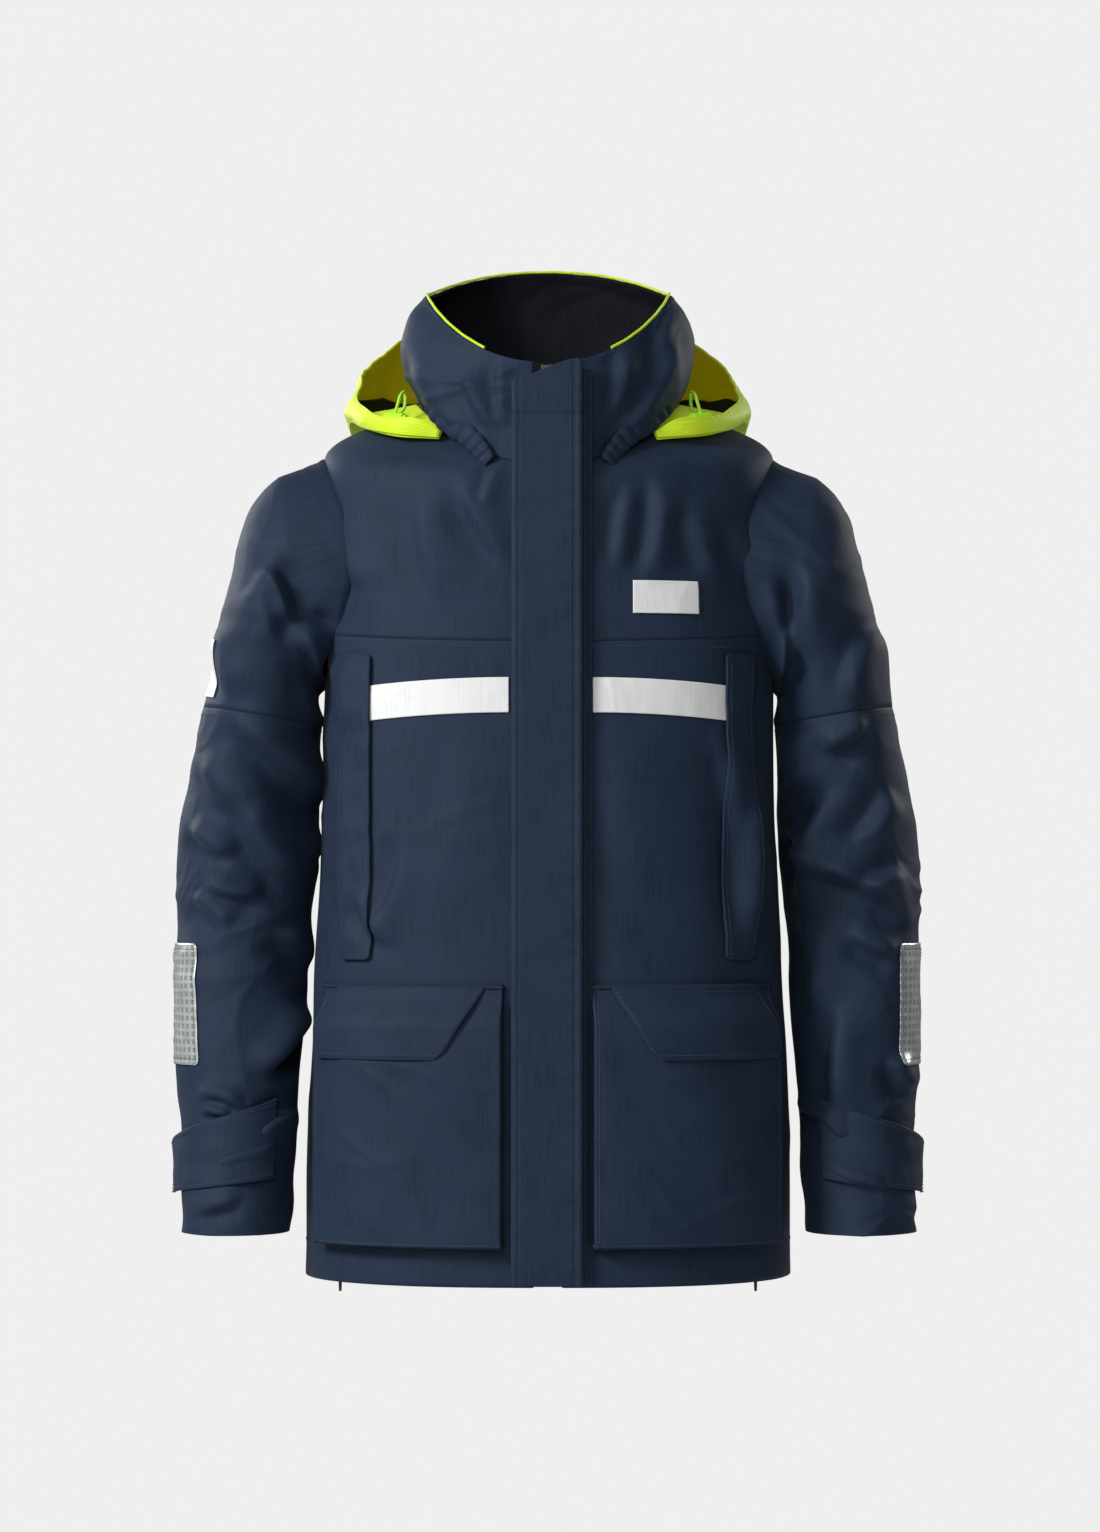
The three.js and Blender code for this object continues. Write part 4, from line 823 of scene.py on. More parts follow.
def cut_armhole(piece, inset):
    """Takes out the faces inside the sleeve's edge."""
    middle = to_frame([0, ARMHOLE_Y, (SLEEVE_TOP + ARMPIT) / 2])
    half_depth, half_height = (HOLE_HALF_DEPTH - inset) * MM, (HOLE_HALF_HEIGHT - inset) * MM
    clear_selection()
    bpy.context.view_layer.objects.active = piece
    piece.select_set(True)
    bpy.ops.object.mode_set(mode="EDIT")
    bpy.ops.mesh.select_mode(type="FACE")
    bpy.ops.mesh.select_all(action="DESELECT")
    bpy.ops.object.mode_set(mode="OBJECT")
    centres = np.array([polygon.center for polygon in piece.data.polygons])
    across, upward = (centres[:, 1] - middle[1]) / half_depth, (centres[:, 2] - middle[2]) / half_height
    inside = across**2 + upward**2 < 1
    piece.data.polygons.foreach_set("select", inside & (np.abs(centres[:, 0]) > SIDE_FROM))
    bpy.ops.object.mode_set(mode="EDIT")
    bpy.ops.mesh.delete(type="FACE")
    bpy.ops.object.mode_set(mode="OBJECT")


def body_panel(name, surface, columns, rows, side, replaces):
    """A panel with its part of the armhole cut out."""
    base, points, outward = laid_out(surface, columns, rows, side, body_folds)
    piece = cloth_grid(name, points, outward)
    cut_armhole(piece, SEAM_ALLOWANCE)
    finish_cloth(piece, (NAVY, LINING), 2.0)
    keep(piece, "jacket", replaces)


SIDES = (("right", -1), ("left", 1))
LOWER_END, YOKE_START = YOKE_RING + 0.06, YOKE_RING + 0.004  # the lower panel runs on under the yoke's edge
for side, sign in SIDES:
    body_panel(f"front_cloth_{side}", body_surface(0, LOWER_END, front_turns), 110, 170, sign,
               [f"front_panel_{side}"])
    body_panel(f"yoke_cloth_{side}", body_surface(YOKE_START, NECK_RING, front_turns), 110, 90, sign,
               [f"yoke_front_{side}"])
body_panel("back_cloth", body_surface(0, LOWER_END, back_turns), 180, 150, -1, ["back_panel"])
body_panel("yoke_cloth_back", body_surface(YOKE_START, NECK_RING, back_turns), 180, 90, -1, ["yoke_back"])

# %% [markdown]
# ## Lining
# A loose lining hangs inside the shell, and is sewn to it above the hem and at the neck. It could be the
# shell's own inner face, but it is a cloth of its own, and the jacket's inside shows at the collar and
# the open hem.

# %% Lining
LINING_GAP, LINING_BEHIND = 1.0, -5.0


def lining_turns(ring):
    return -side_turn(ring, LINING_GAP), -turn_at_x(ring, FRONT_EDGE + 6)


def lining_back_turns(ring):
    return math.pi - side_turn(ring, LINING_GAP), math.pi + side_turn(ring, LINING_GAP)


def lining_folds(points, outward):
    """The lining hangs close to the shell, so it follows its folds."""
    return body_folds(points, outward) + unevenness(points, 0.3, 60) - 0.9


def lining(name, turns, columns, side, replaced):
    surface = body_surface(0.15, NECK_RING - 0.3, turns)
    base, points, outward = laid_out(surface, columns, 80, side, lining_folds, lift=LINING_BEHIND)
    piece = cloth_grid(name, points, outward)
    cut_armhole(piece, LINING_ALLOWANCE)
    finish_cloth(piece, (LINING,), 0.8)
    keep(piece, "jacket", [replaced])
    declare_sheet(piece, *flat_cut(base), "hung", ["jacket"])


for side, sign in SIDES:
    lining(f"lining_cloth_{side}", lining_turns, 50, sign, f"lining_front_{side}")
lining("lining_cloth_back", lining_back_turns, 90, -1, "lining_back")

# %% [markdown]
# ## Collar
# The stand collar leans back from the throat, and its padded inside is dark. It could be one thick wall,
# but two cloths, one behind the other, let each side have its own finish and share the same folds.

# %% Collar
COLLAR_FOLDS = [
    (-118, 800, -62, 716, 13, 3.4, 8), (-70, 780, -44, 728, 10, 2.6, 4),
    (112, 806, 60, 716, 13, 3.0, -8), (-40, 790, -36, 730, 8, 1.8, 2), (66, 800, 56, 735, 10, 2.0, -4),
    (-112, 848, -122, 790, 10, 1.8, 4), (112, 850, 100, 790, 9, 2.0, 4),
]


def collar_surface(u, v, out):
    ring = ring_at(COLLAR_RINGS, COLLAR_TOP * v - 0.05 * (1 - v))
    start = turn_at_x(ring, FRONT_EDGE)
    return on_ring(ring, start + (2 * math.pi - 2 * start) * u, out)


def collar_folds(points, outward):
    x, h = points[..., 0], points[..., 2] - HEM
    front = smooth_step(-0.2, 0.3, -outward[..., 1])
    height = 2.0 * creases(x, h, COLLAR_FOLDS) * front + unevenness(points, 1.0, 70)
    height += crumples(points, 2.0, 70)
    return height * smooth_step(12, 40, np.abs(x) + np.maximum(points[..., 1] + 60, 0))


cloth("collar_cloth", collar_surface, 240, 70, (NAVY,), 2.0, 1, collar_folds, body="jacket",
      replaces=["collar_shell"])
cloth("collar_padding", collar_surface, 160, 40, (LINING,), 1.5, 1, collar_folds, lift=-2.9, body="jacket",
      replaces=["collar_lining"])

# %% [markdown]
# A bright piping edges the collar's rim. Piping is cord in a folded strip, so it is round in section: a
# bevelled curve along the rim gives that in one step, where a swept circle would take several. The
# drawcords use it again.

# %% Collar piping
ROUNDNESS = 4  # the bevel's steps for a quarter of the cord


def tube(name, route, radius, material, body, replaces):
    """A round cord: a bevelled curve through the route's points, turned into a mesh."""
    clear_selection()
    curve = bpy.data.curves.new(name, "CURVE")
    curve.dimensions = "3D"
    spline = curve.splines.new("NURBS")
    spline.points.add(len(route) - 1)
    for point, place in zip(spline.points, to_frame(route)):
        point.co = (*place, 1.0)
    spline.use_endpoint_u = True
    spline.order_u = 4
    curve.bevel_depth = radius * MM
    curve.bevel_resolution = ROUNDNESS
    curve.use_fill_caps = True
    piece = bpy.data.objects.new(name, curve)
    bpy.context.scene.collection.objects.link(piece)
    bpy.context.view_layer.objects.active = piece
    piece.select_set(True)
    bpy.ops.object.convert(target="MESH")
    piece = bpy.context.object
    piece.data.materials.append(material)
    piece.data.shade_smooth()
    keep(piece, body, replaces)
    return piece


PIPING_POINTS, PIPING_RADIUS = 90, 1.2


def piping_route():
    """Round the rim, a little inside it, from one side of the storm flap to the other."""
    ring = np.repeat(COLLAR_RINGS[-1:], PIPING_POINTS, 0)
    start = turn_at_x(ring, FRONT_EDGE)
    first = start + (2 * math.pi - 2 * start) * 1.6 / 24
    turn = first + (2 * math.pi - 2 * first) * np.linspace(0, 1, PIPING_POINTS)
    route = on_ring(ring, turn, -1.0)
    route[:, 2] += 1.4 + 0.25 * np.sin(np.arange(PIPING_POINTS) * 1.9)
    return route


piping = tube("collar_edge_piping", piping_route(), PIPING_RADIUS, LIME, "jacket", ["collar_piping"])
print("piping faces:", len(piping.data.polygons))

# %% [markdown]
# Beside the storm flap, elastic sewn into a channel at the collar's foot draws the cloth into short
# gathers. It is a soft roll with pleats across it. A grid is closed round the channel's middle line, and
# its two ends are filled.

# %% Collar gathers
PLEATS = 8


def gather_line():
    """The channel's middle: from beside the flap, up across the neck seam and round the collar's foot."""
    rows = [on_front(49.0, -58.0, 2.0)]
    for place, turn in ((0.36, 0.60), (0.55, 0.80), (0.72, 0.98)):
        rows.append(on_ring(ring_at(COLLAR_RINGS, np.array(place)), -turn, 2.0))
    return smooth_line(rows)


GATHER_LINE = gather_line()


def gather_surface(u, v, out):
    """A flat soft roll along the elastic: u goes round it and v along it, over its pleats."""
    middle = GATHER_LINE(v)
    along = GATHER_LINE(np.minimum(v + 0.01, 1.0)) - GATHER_LINE(np.maximum(v - 0.01, 0.0))
    along /= np.linalg.norm(along, axis=-1, keepdims=True)
    outward = np.stack([middle[..., 0], middle[..., 1] * 1.2, 0 * v], -1)
    outward -= along * (outward * along).sum(-1, keepdims=True)
    outward /= np.linalg.norm(outward, axis=-1, keepdims=True)
    up = np.cross(along, outward)
    angle = 2 * math.pi * u
    pleat = np.abs(np.sin(v * math.pi * PLEATS + 1.6 * np.sin(5 * v) + 0.35 * np.sin(angle + 1)))
    ends = np.sin(math.pi * np.clip(0.04 + 0.92 * v, 0, 1)) ** 0.25
    depth = (2.4 + 2.1 * pleat) * ends + out
    across = (9.2 + 0.9 * pleat) * ends + out
    return (middle + outward * (depth * np.cos(angle))[..., None]
            + up * (across * np.sign(np.sin(angle)) * np.abs(np.sin(angle)) ** 0.75)[..., None])


for side, sign in SIDES:
    base, points, outward = laid_out(gather_surface, 33, 120, sign)
    piece = cloth_grid(f"gathered_cloth_{side}", points, outward, closed=True)
    clear_selection()
    bpy.context.view_layer.objects.active = piece
    piece.select_set(True)
    bpy.ops.object.mode_set(mode="EDIT")
    bpy.ops.mesh.select_all(action="DESELECT")
    bpy.ops.mesh.select_mode(type="EDGE")
    bpy.ops.mesh.select_non_manifold()
    bpy.ops.mesh.fill()
    bpy.ops.object.mode_set(mode="OBJECT")
    piece.data.materials.append(NAVY)
    piece.data.shade_smooth()
    keep(piece, "jacket", [f"collar_gather_{side}"])
    print(f"{piece.name}: {len(piece.data.polygons)} faces")

# %% [markdown]
# ## Sleeves
# The cap is set into the armhole, at the shoulder. Below the upper-arm seam the sleeve is one
# long tube, which bends at the elbow. Its folds are those of an arm that hangs a little bent: slanting
# from the armpit, short and crossing at the elbow, and heaped above the cuff, where the hand stops the
# cloth. The tube could be split at the elbow, but a sleeve has no seam there, so it is one cloth across
# the joint.

# %% Sleeve folds
SLEEVE_FOLDS = {
    "right": [
        (-174, 512, -224, 562, 13, 6.5, 10), (-224, 562, -246, 612, 12, 5.0, 4),
        (-236, 540, -256, 596, 16, 3.0, 0), (-272, 482, -192, 398, 15, 5.5, -8),
        (-262, 420, -208, 336, 17, 4.5, 10), (-214, 362, -188, 394, 9, 3.0, 0),
        (-296, 340, -244, 332, 9, 3.0, 4), (-203, 472, -207, 522, 9, 4.0, 0),
        (-248, 176, -213, 234, 12, 6.0, 4), (-302, 158, -262, 148, 8, 3.2, -5),
        (-300, 146, -272, 141, 7, 2.6, 0), (-300, 452, -262, 404, 18, 3.0, 6),
        (-312, 392, -270, 366, 12, 3.4, 4), (-232, 300, -206, 262, 13, 3.6, -4),
        (-308, 330, -276, 300, 14, 2.8, -4), (-232, 110, -290, 96, 9, 2.6, 4),
        (-216, 140, -252, 118, 10, 3.0, 4), (-306, 60, -262, 74, 9, 2.2, 2),
        (-286, 562, -268, 500, 16, 3.0, 4),
    ],
    "left": [
        (199, 502, 193, 600, 12, 5.0, 4), (226, 610, 198, 524, 15, 5.0, -6),
        (235, 456, 276, 482, 12, 4.0, 4), (250, 416, 225, 316, 15, 5.5, 8),
        (225, 316, 233, 226, 15, 4.5, -4), (222, 356, 318, 310, 16, 5.5, -10),
        (258, 230, 252, 136, 13, 4.0, 4), (296, 190, 316, 158, 10, 3.4, 0),
        (212, 392, 240, 352, 11, 4.0, 4), (300, 420, 268, 372, 15, 3.6, -6),
        (290, 560, 262, 490, 18, 3.4, 6), (216, 150, 258, 118, 10, 3.4, -4),
        (240, 96, 296, 84, 9, 2.6, 4), (306, 350, 272, 330, 10, 3.0, 2),
        (262, 300, 306, 280, 12, 3.0, 4), (212, 470, 222, 420, 12, 3.6, 2),
    ],
}
SLEEVE_BACK_FOLDS = [
    (-215, 600, -290, 500, 20, 5.0, 8), (-210, 520, -300, 440, 18, 5.0, -6),
    (-212, 410, -310, 380, 14, 6.0, 8), (-214, 378, -312, 352, 12, 6.5, -6),
    (-216, 342, -310, 318, 13, 5.0, 6), (-225, 270, -300, 200, 18, 3.6, 8),
    (-222, 150, -296, 120, 11, 4.0, -4), (-228, 108, -290, 88, 10, 3.4, 3),
    (-300, 280, -310, 180, 14, 2.6, 4),
]


def sleeve_folds(side):
    sign = 1 if side == "left" else -1

    def folds(points, outward):
        x, h = points[..., 0], points[..., 2] - HEM
        front = smooth_step(-0.25, 0.3, -outward[..., 1])
        back = smooth_step(-0.25, 0.3, outward[..., 1])
        height = creases(x, h, SLEEVE_FOLDS[side]) * front
        height += creases(-np.abs(x), h, SLEEVE_BACK_FOLDS) * back
        height = 2.3 * height + unevenness(points * [sign, 1, 1], 1.2, 96)
        inner = smooth_step(0.3, 0.9, -outward[..., 0] * np.sign(x))
        worn = crumples(points, 2.6, 118) + crumples(points * [-1, 1, 1] + 40, 0.7, 52)
        armpit = inner * smooth_step(516, 480, h) * smooth_step(270, 360, h)
        above_cuff = np.sin(h / 9.5 + 0.02 * x) * smooth_step(150, 60, h) * smooth_step(20, 60, h)
        height += worn * (1 - 0.8 * inner) + 4.0 * armpit
        height += 1.2 * above_cuff
        sewn = np.maximum(smooth_step(168, 200, np.abs(x)), smooth_step(500, 478, h))
        return height * smooth_step(2, 26, h) * sewn

    return folds


def cap_surface(u, v, out):
    """The cap: its first rows turn into the armhole, as a seam allowance does."""
    station = CAP_END * v
    tucked = 2.2 * smooth_step(0.04, 0.0, v) + 0.5 * smooth_step(0.98, 1.0, v)
    return on_sleeve(station, 2 * math.pi * u, out - tucked)


def tube_surface(u, v, out):
    station = CAP_END + 0.003 + (CUFF_STATION - CAP_END - 0.003) * v
    tucked = 0.5 * smooth_step(0.012, 0.0, v)
    return on_sleeve(station, 2 * math.pi * u, out - tucked)


# %% Sleeves
for side, sign in SIDES:
    folds = sleeve_folds(side)
    cap = cloth(f"sleeve_cap_cloth_{side}", cap_surface, 150, 70, (NAVY, LINING), 2.0, sign, folds,
                closed=True, replaces=[f"sleeve_cap_{side}"])
    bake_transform(cap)
    arm = cloth(f"sleeve_cloth_{side}", tube_surface, 150, 215, (NAVY, LINING), 2.0, sign, folds, closed=True,
                replaces=[f"sleeve_upper_{side}", f"sleeve_elbow_{side}", f"sleeve_lower_{side}"])
    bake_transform(arm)

# %% [markdown]
# ## What is sewn onto the sleeves
# A band of reflective film goes part of the way round each forearm, and a tab with hook tape closes each
# cuff. The right upper arm carries a plain woven bar. Each is a cloth of its own laid on the sleeve's
# surface. A change of colour in the sleeve's material would be simpler, but these edges are thick, and
# they catch the light.

# %% Sleeve trim
def round_corners(u, v, width, height, radius):
    """Pulls the corners of a unit patch in, so that its outline has rounded corners."""
    x, z = (u - 0.5) * width, (v - 0.5) * height
    inside = radius - np.maximum(np.abs(z) - (height / 2 - radius), 0)
    short = radius - np.sqrt(np.maximum(radius**2 - (radius - inside) ** 2, 0))
    x = x * (1 - short / (width / 2))
    return x / width + 0.5


def on_forearm(turn_from, turn_to, z_from, z_to, radius=5.0):
    def surface(u, v, out):
        share = round_corners(u, v, 75, abs(z_to - z_from), radius)
        turn = np.radians(turn_from + (turn_to - turn_from) * share)
        return on_sleeve(station_at(z_from + (z_to - z_from) * v), turn, out)

    return surface


BAND = on_forearm(0, 54, -575, -470)
for side, sign in SIDES:
    cloth(f"reflective_band_{side}", BAND, 50, 60, (REFLECTIVE,), 0.5, sign, sleeve_folds(side), 1.5,
          body=f"forearm_{side}", replaces=[f"sleeve_reflector_{side}"])

# %% Cuff tabs
def cuff_tab_surface(u, v, out):
    """The tab slopes down round the cuff from its sewn end, narrows, and stands off at its tip."""
    top = -603 - 42 * u
    bottom = np.maximum(top - 68 * (1 - 0.38 * u), -717)
    short = 7 * smooth_step(0.9, 1.0, u) * (2 * np.abs(v - 0.5)) ** 4
    turn = np.radians(132 - (148 - short * 0.6) * u)
    lift = 2.6 + 7 * (np.maximum(u - 0.6, 0) / 0.4) ** 2
    return on_sleeve(station_at(bottom + (top - bottom) * v), turn, out + lift)


for side, sign in SIDES:
    cloth(f"cuff_tab_cloth_{side}", cuff_tab_surface, 80, 34, (NAVY, LINING), 2.0, sign,
          lambda p, n: 0.35 * np.sin(p[..., 2] / 4) + unevenness(p, 0.3, 30),
          0.3, body=f"cuff_tab_{side}", replaces=[f"cuff_tab_{side}"])


# %% Sleeve bar
def sleeve_badge_surface(u, v, out):
    return on_sleeve(4.85 - 0.8 * v, np.radians(36 * u), out)


cloth("sleeve_badge_weave", sleeve_badge_surface, 16, 36, (TAPE,), 0.6, -1, sleeve_folds("right"), 1.6,
      body="jacket", replaces=["sleeve_badge"])

# %% [markdown]
# ## What is sewn onto the front
# Each of these follows the front's own folds, lifted by its own thickness: the white film tapes across
# the chest, a plain bar for the badge, the flaps over the hand pockets, and the cargo pockets with their
# flaps.

# %% Front trim
def front_patch(x_from, x_to, z_from, z_to, droop=0.0, radius=0.0):
    def surface(u, v, out):
        share = round_corners(u, v, abs(x_to - x_from), abs(z_to - z_from), radius) if radius else u
        x = x_from + (x_to - x_from) * share
        return on_front(x, z_from + (z_to - z_from) * v - droop * share**2, out)

    return surface


def puckered(points, outward):
    """Bonded film draws the cloth up a little: short soft puckers across the tape."""
    x, z = points[..., 0], points[..., 2]
    return body_folds(points, outward) + 0.10 * np.sin(x / 3.1 + 0.05 * z) * np.sin(z / 9)


def hand_flap_folds(points, outward):
    """The front's folds, a ripple along the flap, and its sewn edge drawn down."""
    x, z = np.abs(points[..., 0]), points[..., 2]
    return body_folds(points, outward) + 0.25 * np.sin(z / 5) - 1.1 * smooth_step(170, 176, x)


TAPE_FROM = {"right": 33, "left": 38}  # each tape runs on under the storm flap, or up to its strip
TAPE_TO, TAPE_FOOT, TAPE_HEAD = 154, -273, -243
HAND_FLAP = (150, 176, -483, -221)  # x and z, from and to
for side, sign in SIDES:
    tape = front_patch(TAPE_FROM[side], TAPE_TO, TAPE_FOOT, TAPE_HEAD, droop=6)
    cloth(f"chest_tape_film_{side}", tape, 130, 28, (TAPE,), 0.5, sign, puckered, 1.4, body="jacket",
          replaces=[f"chest_tape_{side}"])
    cloth(f"hand_flap_cloth_{side}", front_patch(*HAND_FLAP, radius=4), 24, 150, (NAVY, LINING), 2.0, sign,
          hand_flap_folds, 4.2, body=f"hand_flap_{side}", replaces=[f"hand_flap_{side}"])
cloth("chest_badge_weave", front_patch(72, 128, -188, -160), 60, 30, (TAPE,), 0.6, 1, body_folds, 1.6,
      body="jacket", replaces=["chest_badge"])

# %% [markdown]
# A cargo pocket stands off the front on a gusset, with rounded edges at its sides and bottom and an open
# top. Its flap lies over the opening. The flap's inner end is cut aslant. A bevelled box would be stiff
# and even. Here the pocket's section is drawn once across and once upwards, and the cloth takes the lower
# of the two.

# %% Cargo pockets
POCKET_X, POCKET_Z = (38.0, 188.0), (-721.0, -507.0)
GUSSET = 14.0


def wall_profile(size, open_end):
    """Across a pocket: up one wall, over its rounded edge, along its face and down the other, unless open."""
    rows = [[0, 0.4, 0], [0.1, GUSSET * 0.55, 0], [1.4, GUSSET * 0.88, 0], [5, GUSSET, 0],
            [size / 2, GUSSET + 1, 0]]
    if open_end:
        rows += [[size - 5, GUSSET, 0], [size, GUSSET - 0.4, 0]]
    else:
        rows += [[size - x, out, 0] for x, out, _ in rows[3::-1]]
    return smooth_line(rows)


ACROSS = wall_profile(POCKET_X[1] - POCKET_X[0], False)
UPWARD = wall_profile(POCKET_Z[1] - POCKET_Z[0], True)


def pocket_surface(u, v, out):
    across, upward = ACROSS(u), UPWARD(v)
    x, z = POCKET_X[0] + across[..., 0], POCKET_Z[0] + upward[..., 0]
    depth = np.minimum(across[..., 1], upward[..., 1]) * (1 - 0.8 * smooth_step(-542, -509, z))
    return on_front(x, z, depth + out)


def pocket_folds(points, outward):
    x, z = np.abs(points[..., 0]), points[..., 2]
    middle = smooth_step(38, 60, x) * smooth_step(188, 166, x) * smooth_step(-721, -700, z)
    middle = middle * smooth_step(-507, -560, z)
    return (unevenness(points, 1.5, 95) + crumples(points, 1.6, 90)) * middle

# %% Cargo flaps
def cargo_flap_surface(u, v, out):
    """The flap stands off over the pocket and comes down to the body at its seam; its rim is rolled."""
    inner, outer = 52 + 32 * (1 - v), 177 + 10 * (1 - v)
    z = -567 + 61.5 * v
    corner = 6 * smooth_step(0.14, 0.0, v) * (2 * np.abs(u - 0.5)) ** 10
    x = inner + (outer - inner) * (0.5 + (u - 0.5) * (1 - corner / 60))
    rim = 1.0 * smooth_step(0.06, 0.0, v) + 1.0 * smooth_step(0.03, 0, u) + 1.0 * smooth_step(0.97, 1, u)
    height = (17.9 - rim) * (1 - 0.74 * smooth_step(-540, -505.5, z))
    return on_front(x, z, height + out)


def cargo_flap_folds(points, outward):
    """Slightly uneven, with short puckers along its seam."""
    puckers = np.sin(points[..., 0] / 4) * smooth_step(-520, -506, points[..., 2])
    return unevenness(points, 0.5, 60) + 0.25 * puckers


for side, sign in SIDES:
    cloth(f"cargo_pocket_cloth_{side}", pocket_surface, 120, 120, (NAVY, NAVY), 1.2, sign, pocket_folds,
          body="jacket", replaces=[f"cargo_pocket_{side}"])
    cloth(f"cargo_flap_cloth_{side}", cargo_flap_surface, 90, 50, (NAVY, LINING), 2.0, sign, cargo_flap_folds,
          body=f"cargo_flap_{side}", replaces=[f"cargo_flap_{side}"])

# %% [markdown]
# ## Storm flap and zip
# The flap is a double layer over the zip. It is sewn on along its left edge, held shut by hook tape on
# its right, and reaches up over the front of the collar, where its top edge slopes. It could follow the
# body's rings, but a hinge needs a straight line, so the flap lies in one plane that leans back with the
# chest.

# %% Storm flap
LEAN = math.atan(FRONT_LEAN)
FLAP_FROM, FLAP_TO, FLAP_FOOT = -31, 30, -756.5
FLAP_WIDTH = FLAP_TO - FLAP_FROM


def from_zip(points):
    """The zip lies in a plane that leans back with the chest. This turns its x, y, z into the pattern's."""
    x, y, z = np.moveaxis(np.asarray(points, float), -1, 0)
    return np.stack([x, y * math.cos(LEAN) + z * math.sin(LEAN) - FRONT_AT_NECK,
                     -y * math.sin(LEAN) + z * math.cos(LEAN)], -1)


def zip_patch(x_from, x_to, z_from, z_to, depth):
    """An upright strip in the zip's plane; z_to and depth may be functions of x, and of x and z."""

    def surface(u, v, out):
        x = x_from + (x_to - x_from) * u
        top = z_to(x) if callable(z_to) else z_to
        z = z_from + (top - z_from) * v
        y = depth(x, z) if callable(depth) else depth + 0 * x
        return from_zip(np.stack([x, y - out, z], -1))

    return surface


def flap_top(x):
    slope = 12.0 + 17.0 * smooth_step(-31, 29, x)
    return slope - 3.0 * smooth_step(-25, -31, x) - 2.0 * smooth_step(25, 30, x)


def flap_depth(x, z):
    """The flap's front: rolled edges, a shallow hollow beside the sewn edge, and slack between the tapes."""
    edge = 1.2 * smooth_step(-28.5, -31, x) + 1.4 * smooth_step(27.5, 30, x)
    slack = 0.5 * np.sin(z / 46) + 0.35 * np.sin(z / 23 + 1.7) + 0.18 * np.sin(z / 7.5)
    fixed = smooth_step(30, 10, x)
    hollow = 0.8 * np.exp(-((x - 22.5) / 2.2) ** 2) + 0.45 * np.exp(-((x + 25) / 1.6) ** 2)
    seam = 0.9 * np.exp(-((z + 20) / 2.2) ** 2)
    pucker = 0.3 * np.sin(z / 3.3) * np.exp(-((x - 20) / 7) ** 2)
    return -10.6 + edge + hollow * 0.7 + seam - slack * fixed * 0.8 - pucker


STORM_FLAP = zip_patch(FLAP_FROM, FLAP_TO, FLAP_FOOT, flap_top, flap_depth)
cloth("storm_flap_cloth", STORM_FLAP, 64, 520, (NAVY, LINING), 2.2, body="storm_flap",
      replaces=["storm_flap"])

# %% Edge strip and hook tape
def binding_depth(x, z):
    """The strip rises from the front to meet the flap's edge."""
    return -1.4 - 5.6 * smooth_step(37.5, 30.2, x)


EDGE_STRIP = zip_patch(30.3, 38.0, -756.0, 20.0, binding_depth)
cloth("storm_flap_edge", EDGE_STRIP, 12, 200, (NAVY,), 1.2, body="jacket", replaces=["storm_flap_binding"])
HOOK_AREA = (-29, -15, -748, 2)  # x and z, from and to
HOOK_DEPTH, LOOP_DEPTH = -7.7, -4.2
cloth("hook_tape", zip_patch(*HOOK_AREA, HOOK_DEPTH), 16, 300, (HOOK_TAPE,), 2.4, body="storm_flap",
      replaces=["storm_flap_hook_tape"])
cloth("loop_tape", zip_patch(*HOOK_AREA, LOOP_DEPTH), 16, 300, (HOOK_TAPE,), 3.4, body="jacket",
      replaces=["placket_loop_tape"])

# %% [markdown]
# ## Hood
# The hood hangs open behind the collar. Its outside is bright. Inside, a facing of the same cloth runs
# along the rim, and the rest is lined with dark mesh. Below the fold, a neck cloth joins the hood to the neck
# seam, and a lower cloth that moves with the hood lies over it. The hood could be one cloth in two colours,
# but its layers really are separate, and the mesh hangs a little away.

# %% Hood
def hood_folds(points, outward):
    x, h = points[..., 0], points[..., 2] - HEM
    back = smooth_step(-60, 60, points[..., 1])
    height = unevenness(points, 1.8, 105) + crumples(points, 3.2, 90) + crumples(points, 1.2, 44)
    return height * (0.35 + 0.65 * back)


def part_of(surface, u_from, u_to, v_from, v_to):
    def part(u, v, out):
        u = u_from + (u_to - u_from) * u
        low = v_from(u) if callable(v_from) else v_from
        high = v_to(u) if callable(v_to) else v_to
        return surface(u, low + (high - low) * v, out)

    return part


def hood_end(u):
    """Where the rim ends: it dips in front of each cord lock."""
    share = np.where(u <= 0.5, u * 2, 2 - u * 2)
    return 1 - 0.30 * np.exp(-((share - 0.12) / 0.07) ** 2)


def facing_start(u):
    """The facing is narrow at the front and wide at the back, and its edge is slightly scalloped."""
    share = np.where(u <= 0.5, u * 2, 2 - u * 2)
    return 0.62 + 0.04 * smooth_step(0.2, 0.6, share) + 0.012 * np.sin(u * 70)


def mesh_end(u):
    """The mesh runs a little way under the facing."""
    return facing_start(u) + 0.03


def mesh_folds(points, outward):
    return hood_folds(points, outward) + unevenness(points, 1.0, 30) - 1.0


def yoke_folds(points, outward):
    return unevenness(points, 0.6, 60)


